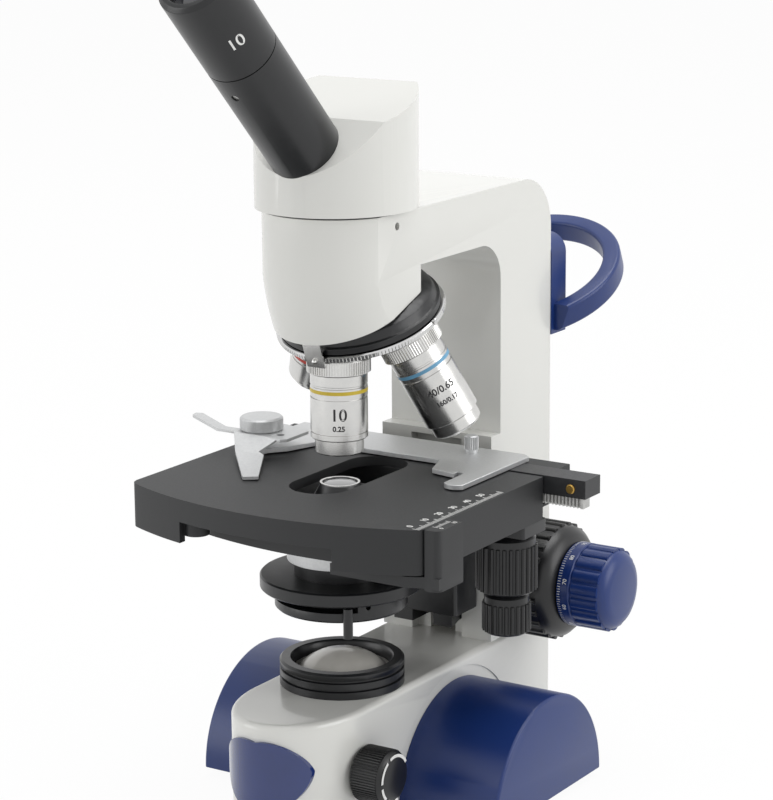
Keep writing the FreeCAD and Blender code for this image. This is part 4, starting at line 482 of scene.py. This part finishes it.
class GripSettings(bpy.types.PropertyGroup):
    """Counts and sizes of the ribs on knobs and collars."""
    coarse_ribs: IntProperty(name="Coarse knob ribs", description="Ribs round a coarse knob",
                             default=26, min=8, max=60)
    stage_ribs: IntProperty(name="Stage knob ribs", description="Ribs round a stage knob",
                            default=28, min=8, max=60)
    fine_ribs: IntProperty(name="Fine knob ribs", description="Ribs round a fine knob",
                           default=18, min=8, max=60)
    disc_teeth: IntProperty(name="Disc knurls", description="Knurls round the condenser's disc",
                            default=113, min=20, max=240)
    collar_knurls: IntProperty(name="Collar knurls", description="Knurls round an objective's collar",
                               default=72, min=20, max=120)


class CameraSettings(bpy.types.PropertyGroup):
    """Where the photograph was taken from."""
    place: FloatVectorProperty(name="Place", description="Camera place in millimetres from the optical axis",
                               default=(566.4, -848.7, 406.4), size=3)
    azimuth: FloatProperty(name="Azimuth", description="Turn round the object in degrees", default=32.696)
    pitch: FloatProperty(name="Pitch", description="Downward tilt in degrees", default=13.24)
    roll: FloatProperty(name="Roll", description="Roll in degrees", default=-0.433)
    lens: FloatProperty(name="Lens", description="Focal length in millimetres", default=122.91,
                        min=20, max=400)


class MICROSCOPE_OT_castings(bpy.types.Operator):
    """Enamelled base, arm and head, moulded covers and handle"""
    bl_idname = "microscope.castings"
    bl_label = "Castings and covers"

    def execute(self, context):
        dressed("base_housing", "enamelled_base", "white_enamel", "stand", bevel=0.6, segments=3)
        dressed("arm_casting", "enamelled_arm", "white_enamel", "stand", bevel=2.2, segments=5)
        dressed("head_body", "enamelled_head", "white_enamel", "head", bevel=1.0, segments=3)
        dressed("side_cover_left", "moulded_cover_left", "blue_abs", "stand", bevel=0.4)
        dressed("side_cover_right", "moulded_cover_right", "blue_abs", "stand", bevel=0.4)
        dressed("carrying_handle", "moulded_handle", "blue_abs", "stand", bevel=1.2, segments=4)
        dressed("badge_plate", "bare_badge", "badge_gloss", "stand")
        for node, finish in (("base_plate", "black_nylon"), ("rubber_feet", "rubber_black"),
                             ("base_plate_screws", "ground_steel"), ("handle_screws", "ground_steel"),
                             ("head_dovetail", "black_anodised"), ("prism", "coated_glass"),
                             ("head_set_screw", "black_ink"), ("power_socket", "black_nylon"),
                             ("switch_housing", "black_nylon"), ("switch_rocker", "black_nylon"),
                             ("dimmer_control", "circuit_board"), ("led_board", "circuit_board")):
            paint(node, finish)
        return {"FINISHED"}


class MICROSCOPE_OT_lamp(bpy.types.Operator):
    """Lamp collar with its two grooves, and its frosted dome"""
    bl_idname = "microscope.lamp"
    bl_label = "Lamp"

    def execute(self, context):
        dressed("lamp_collar", "lamp_collar_ring", "black_anodised", "stand")
        dressed("lamp_lens", "lamp_dome", "frosted_dome", "stand")
        return {"FINISHED"}


class MICROSCOPE_OT_brightness_knob(bpy.types.Operator):
    """Brightness knob with its fluted rim and printed ring"""
    bl_idname = "microscope.brightness_knob"
    bl_label = "Brightness knob"

    def execute(self, context):
        centre = middle("dimmer_knob")
        radius = (high("dimmer_knob", 2) - low("dimmer_knob", 2)) / 2
        outer = high("dimmer_knob", 0)
        inner = outer - 14.6
        place = axis_place((0, centre.y, centre.z), (1, 0, 0))
        foot = low("dimmer_knob", 0)
        body = turned([(0, inner), (radius - 1.2, inner), (radius - 0.5, inner + 0.8),
                       (radius - 0.5, outer - 2.4), (radius - 1.6, outer - 0.9), (radius - 2.6, outer - 0.4),
                       (0, outer - 0.4)], place)
        shaft = turned([(0, foot), (3, foot), (3, inner + 1), (0, inner + 1)], place, 32)
        grip = ribs(place, "black_nylon", 60, radius - 0.5, 0.75, 0.9, inner + 0.9, outer - 2.6, 8)
        piece_from(join(body, shaft, grip), "brightness_grip", "black_nylon", "dimmer",
                   replaces=("dimmer_knob",))
        inks = []
        for start, stop in ((-60, 20), (32, 88), (100, 136), (148, 168), (180, 192)):
            inks.append(arc_strip(place, 8.3, 9.5, outer - 0.4, outer - 0.32, start, stop))
        piece_from(join(*inks), "brightness_marks", "white_ink", "dimmer")
        return {"FINISHED"}


def arc_strip(place, inner, outer, z0, z1, start, stop, steps=24):
    """A thin raised arc between two radii and two angles in degrees."""
    bm = bmesh.new()
    rows = []
    for i in range(steps + 1):
        angle = math.radians(start + (stop - start) * i / steps)
        c, s = math.cos(angle), math.sin(angle)
        corners = ((inner, z0), (outer, z0), (outer, z1), (inner, z1))
        rows.append([bm.verts.new((r * c, r * s, z)) for r, z in corners])
    for here, there in zip(rows, rows[1:]):
        for k in range(4):
            bm.faces.new((here[k], here[(k + 1) % 4], there[(k + 1) % 4], there[k]))
    bm.faces.new(rows[0])
    bm.faces.new(rows[-1])
    bmesh.ops.recalc_face_normals(bm, faces=bm.faces)
    bm.transform(place)
    return bm


class MICROSCOPE_OT_eyepiece(bpy.types.Operator):
    """Inclined tube, eyepiece with its lenses and a plain number"""
    bl_idname = "microscope.eyepiece"
    bl_label = "Tube and eyepiece"

    def execute(self, context):
        dressed("eyepiece_tube", "inclined_tube", "black_anodised", "head", bevel=0.25)
        dressed("eyepiece_body", "eyepiece_barrel", "black_anodised", "eyepiece", bevel=0.2)
        paint("eyepiece_lenses", "coated_glass")
        paint("eyepiece_set_screw", "ground_steel")
        radius = 14.0
        rim = radius * math.sqrt(0.5)
        top = Vector((0, low("eyepiece_body", 1) + rim, high("eyepiece_body", 2) - rim))
        place = axis_place(top, TUBE_AXIS, (1, 0, 0))
        number = wrapped(lettering("10", 7.0, weight=0.05), radius, -21.0, math.radians(-38))
        number.transform(place)
        piece_from(number, "eyepiece_number", "white_ink", "eyepiece")
        return {"FINISHED"}


class MICROSCOPE_OT_nosepiece(bpy.types.Operator):
    """Fixed ring, revolving disc with its knurled rim, pivot and detent spring"""
    bl_idname = "microscope.nosepiece"
    bl_label = "Nosepiece"

    def execute(self, context):
        dressed("nosepiece_ring", "nosepiece_black_ring", "black_anodised", "stand", bevel=0.2)
        dressed("nosepiece_disc", "nosepiece_chrome_disc", "polished_chrome", "nosepiece", bevel=0.15)
        paint("nosepiece_pivot", "ground_steel")
        paint("detent_spring", "satin_chrome")
        place = axis_place(NOSE_APEX + NOSE_AXIS * RIM_FROM_APEX, -NOSE_AXIS)
        rim = ribs(place, "satin_chrome", 150, 33.0, 0.7, 0.7, -2.0, -0.6, 6)
        piece_from(rim, "nosepiece_rim_knurl", "satin_chrome", "nosepiece")
        return {"FINISHED"}


def barrel(name, node, way, rings, number, turn):
    """One objective: knurled collar, satin body with grooves, a coloured ring and plain numbers."""
    grip = bpy.context.scene.microscope_grips
    place = axis_place(NOSE_APEX + way * SHOULDER_FROM_APEX, -way, (0, -1, 0))
    profile, collar, colour, ring_at = rings
    shape = turned(profile, place)
    knurl = ribs(place, "satin_chrome", grip.collar_knurls, 12.05, 0.66, 0.7, -5.6, -0.6, 6)
    piece_from(join(shape, knurl), name + "_barrel", "satin_chrome", "nosepiece", replaces=(node,))
    under = collar - 0.4
    over = collar + 0.06
    z0 = -ring_at - 0.7
    z1 = -ring_at + 0.7
    band = turned([(under, z0), (over, z0), (over, z1), (under, z1)], place)
    piece_from(band, name + "_colour_ring", colour, "nosepiece")
    lines = []
    for text, size, height in number:
        lines.append(wrapped(lettering(text, size, weight=0.1), collar, -height, turn))
    ink = join(*lines)
    ink.transform(place)
    piece_from(ink, name + "_number", "black_ink", "nosepiece")


class MICROSCOPE_OT_objectives(bpy.types.Operator):
    """Three objectives with knurled collars, coloured rings and plain numbers"""
    bl_idname = "microscope.objectives"
    bl_label = "Objectives"

    def execute(self, context):
        side = math.sin(NOSE_TILT)
        slope = math.sin(NOSE_TILT) * math.cos(NOSE_TILT)
        fall = math.cos(NOSE_TILT) ** 2
        thread = [(6, 4.5), (10.1, 4.5), (10.1, 0), (11.4, 0), (11.9, -0.4), (11.9, -5.8), (11.4, -6.2)]
        ten = thread + [(11.1, -6.2), (11.1, -10.2), (10.8, -10.4), (10.8, -11.0), (11.1, -11.2),
                        (11.1, -14.9), (10.6, -15.0), (10.6, -15.5), (11.1, -15.6), (11.1, -28.6),
                        (10.7, -28.7), (10.7, -29.1), (11.1, -29.2), (11.1, -31.2), (10.7, -31.6),
                        (9.4, -31.6), (9.4, -37.0), (8.9, -37.5), (5.0, -37.5), (6, -36)]
        barrel("ten", "objective_10x", Vector((0, 0, -1)), (ten, 11.1, "ring_yellow", 12.6),
               (("10", 6.6, 21.2), ("0.25", 2.8, 26.4)), math.radians(32.7))
        four = thread + [(11.1, -6.2), (11.1, -9.6), (10.8, -9.8), (10.8, -10.4), (11.1, -10.6),
                         (11.1, -13.8), (10.6, -14.0), (10.6, -14.4), (11.1, -14.5), (11.1, -23.6),
                         (10.7, -24.0), (9.0, -24.0), (9.0, -26.6), (8.6, -27.0), (5.4, -27.0), (6, -25)]
        barrel("four", "objective_4x", Vector((-side, slope, -fall)), (four, 11.1, "ring_red", 12.0),
               (("4", 5.6, 19.0),), math.radians(30))
        forty = thread + [(11.1, -6.2), (11.1, -10.4), (10.8, -10.6), (10.8, -11.2), (11.1, -11.4),
                          (11.1, -15.1), (10.6, -15.2), (10.6, -15.7), (11.1, -15.8), (11.1, -36.1),
                          (10.7, -36.5), (10.05, -36.5), (10.05, -26.0), (6.0, -26.0)]
        barrel("forty", "objective_40x", Vector((side, slope, -fall)), (forty, 11.1, "ring_blue", 13.0),
               (("40/0.65", 3.9, 22.4), ("160/0.17", 2.7, 27.6)), math.radians(42))
        dressed("objective_40x_nose", "forty_sprung_nose", "satin_chrome", "high_power_nose", bevel=0.2)
        paint("front_lens_40x", "coated_glass")
        paint("objective_front_lenses", "coated_glass")
        return {"FINISHED"}


class MICROSCOPE_OT_stage_plate(bpy.types.Operator):
    """Powder-coated stage plate with its printed millimetre scale"""
    bl_idname = "microscope.stage_plate"
    bl_label = "Stage plate"

    def execute(self, context):
        dressed("stage_plate", "coated_stage_plate", "charcoal_powder_coat", "stage", bevel=0.9, segments=3)
        dressed("stage_base", "coated_stage_base", "charcoal_powder_coat", "carriage", bevel=0.8, segments=3)
        dressed("cross_rail", "black_cross_rail", "charcoal_powder_coat", "stage", bevel=0.3)
        dressed("stage_knob_bearing", "knob_bearing", "black_anodised", "stage", bevel=0.3)
        ink = high("stage_plate", 2) + 0.02
        edge = high("stage_plate", 0)
        upward = Matrix.Rotation(math.pi / 2, 4, "Z")
        ticks = grown(tick_tree(), "white_ink", Count=61, Step=1.0, Short=1.9, Long=3.1, Line=0.32, Every=5)
        scale = bmesh.new()
        add_mesh(scale, ticks, Matrix.Translation((edge - 1.2, -46.0, ink)))
        numbers = []
        for i in range(6):
            text = lettering(str(i * 10), 3.6, weight=0.07)
            text.transform(Matrix.Translation((edge - 6.6, -43.7 + 10 * i, ink)) @ upward)
            numbers.append(text)
        piece_from(join(scale, *numbers), "stage_scale", "white_ink", "stage")
        vernier = grown(tick_tree(), "white_ink", Count=11, Step=0.9, Short=1.4, Long=2.3, Line=0.26, Every=5)
        marks = bmesh.new()
        edge = low("stage_plate", 0) * -1 + 0.3
        add_mesh(marks, vernier, Matrix.Translation((edge + 2.6, -40.0, ink)))
        ends = []
        for text, y in (("0", -40.0), ("10", -31.0)):
            label = lettering(text, 2.4, weight=0.03)
            label.transform(Matrix.Translation((edge + 4.2, y, ink)) @ upward)
            ends.append(label)
        piece_from(join(marks, *ends), "vernier_scale", "white_ink", "carriage")
        return {"FINISHED"}


class MICROSCOPE_OT_slide_holder(bpy.types.Operator):
    """Blasted slide holder, cross bar with its rack, sprung clip and thumbscrew"""
    bl_idname = "microscope.slide_holder"
    bl_label = "Slide holder"

    def execute(self, context):
        dressed("slide_holder", "blasted_holder", "blasted_aluminium", "slide_carrier", bevel=0.25)
        dressed("cross_bar", "painted_cross_bar", "bar_paint_and_rack", "slide_carrier", bevel=0.15)
        dressed("clip_finger", "blasted_clip", "blasted_aluminium", "clip", bevel=0.3)
        centre = middle("holder_thumbscrew")
        z0, z1 = low("holder_thumbscrew", 2), high("holder_thumbscrew", 2)
        place = Matrix.Translation((centre.x, centre.y, 0))
        screw = turned([(0, z0), (2.5, z0), (2.5, z1 - 0.5), (2.1, z1), (0, z1)], place, 48)
        grip = ribs(place, "blasted_aluminium", 20, 2.5, 0.5, 0.7, z0 + 1.4, z1 - 0.6, 6)
        piece_from(join(screw, grip), "knurled_thumbscrew", "blasted_aluminium", "slide_carrier",
                   replaces=("holder_thumbscrew",))
        z1 = high("clip_finger", 2)
        cap = Matrix.Translation(CLIP_POST)
        knurl = ribs(cap, "blasted_aluminium", 60, 8.5, 0.5, 0.5, z1 - 4.9, z1 - 0.9, 6)
        piece_from(knurl, "clip_cap_knurl", "blasted_aluminium", "clip")
        end = high("cross_bar", 0)
        screw_place = axis_place((end - 6.4, low("cross_bar", 1), high("cross_bar", 2) - 3.9), (0, -1, 0))
        head = turned([(0, -0.5), (1.9, -0.5), (1.9, 0.5), (1.5, 0.9), (0, 0.9)], screw_place, 40)
        piece_from(head, "bar_end_screw", "spring_brass", "slide_carrier")
        return {"FINISHED"}


class MICROSCOPE_OT_condenser(bpy.types.Operator):
    """Condenser with its knurled grip disc, sleeve, lens and iris lever"""
    bl_idname = "microscope.condenser"
    bl_label = "Condenser"

    def execute(self, context):
        grip = context.scene.microscope_grips
        dressed("condenser_body", "condenser_shell", "black_anodised", "carriage", bevel=0.2)
        dressed("condenser_sleeve", "condenser_holder", "blasted_aluminium", "carriage", bevel=0.2)
        dressed("condenser_lens", "condenser_glass", "coated_glass", "carriage")
        paint("iris_leaves", "black_anodised")
        dressed("iris_lever", "iris_handle", "black_anodised", "iris", bevel=0.2)
        knurl = ribs(Matrix(), "black_anodised", grip.disc_teeth, 31.45, 0.95, 0.5, 93.4, 97.5, 6)
        piece_from(knurl, "condenser_disc_knurl", "black_anodised", "carriage")
        ring = turned([(6.9, 134.15), (7.8, 134.15), (7.8, 134.3), (6.9, 134.3)])
        piece_from(ring, "condenser_glass_rim", "satin_chrome", "carriage")
        return {"FINISHED"}


class MICROSCOPE_OT_focus_knobs(bpy.types.Operator):
    """Ribbed coarse knobs, and blue fine knobs with their graduated flange"""
    bl_idname = "microscope.focus_knobs"
    bl_label = "Focus knobs"

    def execute(self, context):
        grip = context.scene.microscope_grips
        centre = middle("coarse_shaft")
        coarse, fine, dial = [], [], []
        for side in (-1, 1):
            place = axis_place((0, centre.y, centre.z), (side, 0, 0))
            coarse.append(turned([(6.9, 27.5), (22.6, 27.5), (23.6, 28.6), (23.6, 44.0), (22.6, 47.2),
                                  (20.0, 49.8), (17.0, 51.0), (6.9, 51.0)], place))
            coarse.append(ribs(place, "black_nylon", grip.coarse_ribs, 22.9, 3.0, 3.0, 28.4, 45.0, 12))
            body = [(0, 51.3), (17.2, 51.3), (17.3, 51.6), (17.3, 56.6), (17.0, 56.9), (16.5, 57.1),
                    (16.4, 68.6), (15.8, 70.4), (13.8, 72.2), (10.8, 73.0), (0, 73.0)]
            fine.append(turned(body, place))
            fine.append(ribs(place, "blue_abs", grip.fine_ribs, 16.2, 4.6, 2.1, 57.6, 69.4, 14))
            dial += dial_marks(place)
        piece_from(join(*coarse), "coarse_grips", "black_nylon", "coarse_drive", replaces=("coarse_knobs",))
        piece_from(join(*fine), "fine_grips", "blue_abs", "fine_drive", replaces=("fine_knobs",))
        piece_from(join(*dial), "fine_dial_marks", "white_ink", "fine_drive")
        paint("coarse_shaft", "ground_steel")
        paint("fine_shaft", "ground_steel")
        return {"FINISHED"}


def dial_marks(place):
    """Printed divisions and plain numbers round the fine knob's flange."""
    count = 100
    ring = ribs(place, "white_ink", count, 17.3, 0.22, 0.12, 51.7, 53.0, 4)
    parts = [ring]
    for i in range(10):
        turn = -2 * math.pi * (i + 1) / 10
        label = lettering(str(i * 10), 2.4, weight=0.02)
        label.transform(Matrix.Rotation(math.pi, 4, "Z"))
        label = wrapped(label, 17.3, 54.8, turn)
        label.transform(place)
        parts.append(label)
    return parts


class MICROSCOPE_OT_stage_knobs(bpy.types.Operator):
    """Two ribbed coaxial knobs under the stage"""
    bl_idname = "microscope.stage_knobs"
    bl_label = "Stage knobs"

    def execute(self, context):
        grip = context.scene.microscope_grips
        for node, name, body, count in (("stage_y_knob", "fore_aft_grip", "y_drive", grip.stage_ribs),
                                        ("stage_x_knob", "travel_grip", "x_drive", grip.stage_ribs - 4)):
            centre = middle(node)
            radius = (high(node, 0) - low(node, 0)) / 2
            z0, z1 = low(node, 2), high(node, 2)
            place = Matrix.Translation((centre.x, centre.y, 0))
            bore = 2.4 if node == "stage_x_knob" else 4.9
            core = turned([(bore, z0), (radius - 1.6, z0), (radius - 0.9, z0 + 0.7), (radius - 0.9, z1 - 1.8),
                           (radius - 2.4, z1), (bore, z1)], place)
            band = ribs(place, "black_nylon", count, radius - 0.95, 1.7, 1.7, z0 + 0.9, z1 - 4.6, 10)
            piece_from(join(core, band), name, "black_nylon", body, replaces=(node,))
        paint("stage_y_pinion", "ground_steel")
        paint("stage_x_pinion", "ground_steel")
        return {"FINISHED"}


class MICROSCOPE_OT_focus_slide(bpy.types.Operator):
    """Guide rail, carriage and focus rack"""
    bl_idname = "microscope.focus_slide"
    bl_label = "Focus slide"

    def execute(self, context):
        dressed("stage_guide_rail", "guide_rail", "black_anodised", "stand", bevel=0.3)
        dressed("stage_carriage", "focus_carriage", "black_anodised", "carriage", bevel=0.3)
        paint("focus_rack", "spring_brass")
        return {"FINISHED"}


def soft_lamp(name, place, target, size, power):
    """A large square soft light aimed at a point."""
    light = bpy.data.lights.new(name, "AREA")
    light.shape = "SQUARE"
    light.size = size
    light.energy = power
    lamp = bpy.data.objects.new(name, light)
    bpy.context.scene.collection.objects.link(lamp)
    lamp.location = place
    lamp.rotation_euler = (Vector(target) - Vector(place)).to_track_quat("-Z", "Y").to_euler()


class MICROSCOPE_OT_studio(bpy.types.Operator):
    """Pale floor, soft light and the camera"""
    bl_idname = "microscope.studio"
    bl_label = "Studio"

    def execute(self, context):
        scene = context.scene
        scene.view_settings.view_transform = "Standard"
        self.make_floor()
        self.make_world(scene)
        soft_lamp("left_softbox", (-1.4, -1.4, 0.5), (0, 0, 0.12), 1.3, 10)
        soft_lamp("right_softbox", (1.8, 0.4, 0.9), (0, 0, 0.17), 1.3, 14)
        soft_lamp("top_softbox", (0.1, 0.3, 2.2), (0, 0, 0.17), 1.6, 30)
        self.make_camera(scene)
        return {"FINISHED"}

    def make_floor(self):
        """A wide floor that shows white and still keeps the shadow."""
        bm = bmesh.new()
        bmesh.ops.create_circle(bm, cap_ends=True, segments=96, radius=6.0)
        mesh = bpy.data.meshes.new("floor")
        bm.to_mesh(mesh)
        bm.free()
        floor = bpy.data.objects.new("floor", mesh)
        bpy.context.scene.collection.objects.link(floor)
        floor.location.z = -0.0004
        tree = new_material("pale_floor")
        rays = add_node(tree, "ShaderNodeLightPath")
        seen = add_node(tree, "ShaderNodeMath", {
            0: rays.outputs["Is Camera Ray"], 1: rays.outputs["Is Glossy Ray"]}, operation="MAXIMUM")
        part = add_node(tree, "ShaderNodeMath", {0: seen.outputs[0], 1: 0.95}, operation="MULTIPLY")
        matt = add_node(tree, "ShaderNodeBsdfDiffuse", {"Color": (0.86, 0.86, 0.86, 1)})
        white = add_node(tree, "ShaderNodeEmission", {"Color": (1, 1, 1, 1), "Strength": 1.0})
        close_material(tree, add_node(tree, "ShaderNodeMixShader", {0: part.outputs[0], 1: matt.outputs[0],
                                                                    2: white.outputs[0]}))
        mesh.materials.append(MATERIALS["pale_floor"])

    def make_world(self, scene):
        """White for what the camera sees and for reflections, softer as a light."""
        world = bpy.data.worlds.new("white_studio")
        world.use_nodes = True
        scene.world = world
        tree = world.node_tree
        tree.nodes.clear()
        rays = add_node(tree, "ShaderNodeLightPath")
        glass = add_node(tree, "ShaderNodeMath", {
            0: rays.outputs["Is Glossy Ray"], 1: rays.outputs["Is Transmission Ray"]}, operation="MAXIMUM")
        seen = add_node(tree, "ShaderNodeMath", {0: rays.outputs["Is Camera Ray"], 1: glass.outputs[0]},
                        operation="MAXIMUM")
        room = add_node(tree, "ShaderNodeBackground", {"Color": (1, 1, 1, 1), "Strength": 0.52})
        white = add_node(tree, "ShaderNodeBackground", {"Color": (1, 1, 1, 1), "Strength": 1.0})
        mix = add_node(tree, "ShaderNodeMixShader", {
            0: seen.outputs[0], 1: room.outputs[0], 2: white.outputs[0]})
        add_node(tree, "ShaderNodeOutputWorld", {"Surface": mix.outputs[0]})

    def make_camera(self, scene):
        """The camera, with its turn, tilt and roll about its own place."""
        shot = scene.microscope_camera
        data = bpy.data.cameras.new("camera")
        camera = bpy.data.objects.new("camera", data)
        scene.collection.objects.link(camera)
        data.lens = shot.lens
        data.sensor_width = 36
        data.clip_end = 30
        a, p, r = (math.radians(v) for v in (shot.azimuth, shot.pitch, shot.roll))
        right = Vector((math.cos(a), math.sin(a), 0))
        ahead = Vector((-math.sin(a) * math.cos(p), math.cos(a) * math.cos(p), -math.sin(p)))
        up = right.cross(ahead)
        x = right * math.cos(r) + up * math.sin(r)
        y = up * math.cos(r) - right * math.sin(r)
        turn = Matrix((x, y, -ahead)).transposed().to_4x4()
        camera.matrix_world = Matrix.Translation(TO_ROW @ Vector(shot.place)) @ turn
        scene.camera = camera


class MICROSCOPE_PT_panel(bpy.types.Panel):
    """Lists the microscope's pieces and their settings"""
    bl_idname = "MICROSCOPE_PT_panel"
    bl_label = "Microscope"
    bl_space_type = "VIEW_3D"
    bl_region_type = "UI"
    bl_category = "Microscope"

    def draw(self, context):
        scene = context.scene
        for group in (scene.microscope_look, scene.microscope_grips, scene.microscope_camera):
            for name in group.__annotations__:
                self.layout.prop(group, name)
        for piece in PIECES:
            self.layout.operator(piece.bl_idname)


PIECES = (MICROSCOPE_OT_castings, MICROSCOPE_OT_lamp, MICROSCOPE_OT_brightness_knob, MICROSCOPE_OT_eyepiece,
          MICROSCOPE_OT_nosepiece, MICROSCOPE_OT_objectives, MICROSCOPE_OT_stage_plate, MICROSCOPE_OT_slide_holder,
          MICROSCOPE_OT_condenser, MICROSCOPE_OT_focus_knobs, MICROSCOPE_OT_stage_knobs, MICROSCOPE_OT_focus_slide,
          MICROSCOPE_OT_studio)
CLASSES = (LookSettings, GripSettings, CameraSettings) + PIECES + (MICROSCOPE_PT_panel,)


def register():
    for kind in CLASSES:
        bpy.utils.register_class(kind)
    bpy.types.Scene.microscope_look = PointerProperty(type=LookSettings)
    bpy.types.Scene.microscope_grips = PointerProperty(type=GripSettings)
    bpy.types.Scene.microscope_camera = PointerProperty(type=CameraSettings)


def unregister():
    del bpy.types.Scene.microscope_camera
    del bpy.types.Scene.microscope_grips
    del bpy.types.Scene.microscope_look
    for kind in reversed(CLASSES):
        bpy.utils.unregister_class(kind)


def main():
    register()
    make_finishes(bpy.context.scene.microscope_look)
    bpy.ops.microscope.castings()
    bpy.ops.microscope.lamp()
    bpy.ops.microscope.brightness_knob()
    bpy.ops.microscope.eyepiece()
    bpy.ops.microscope.nosepiece()
    bpy.ops.microscope.objectives()
    bpy.ops.microscope.stage_plate()
    bpy.ops.microscope.slide_holder()
    bpy.ops.microscope.condenser()
    bpy.ops.microscope.focus_knobs()
    bpy.ops.microscope.stage_knobs()
    bpy.ops.microscope.focus_slide()
    bpy.ops.microscope.studio()


if __name__ == "__main__":
    main()
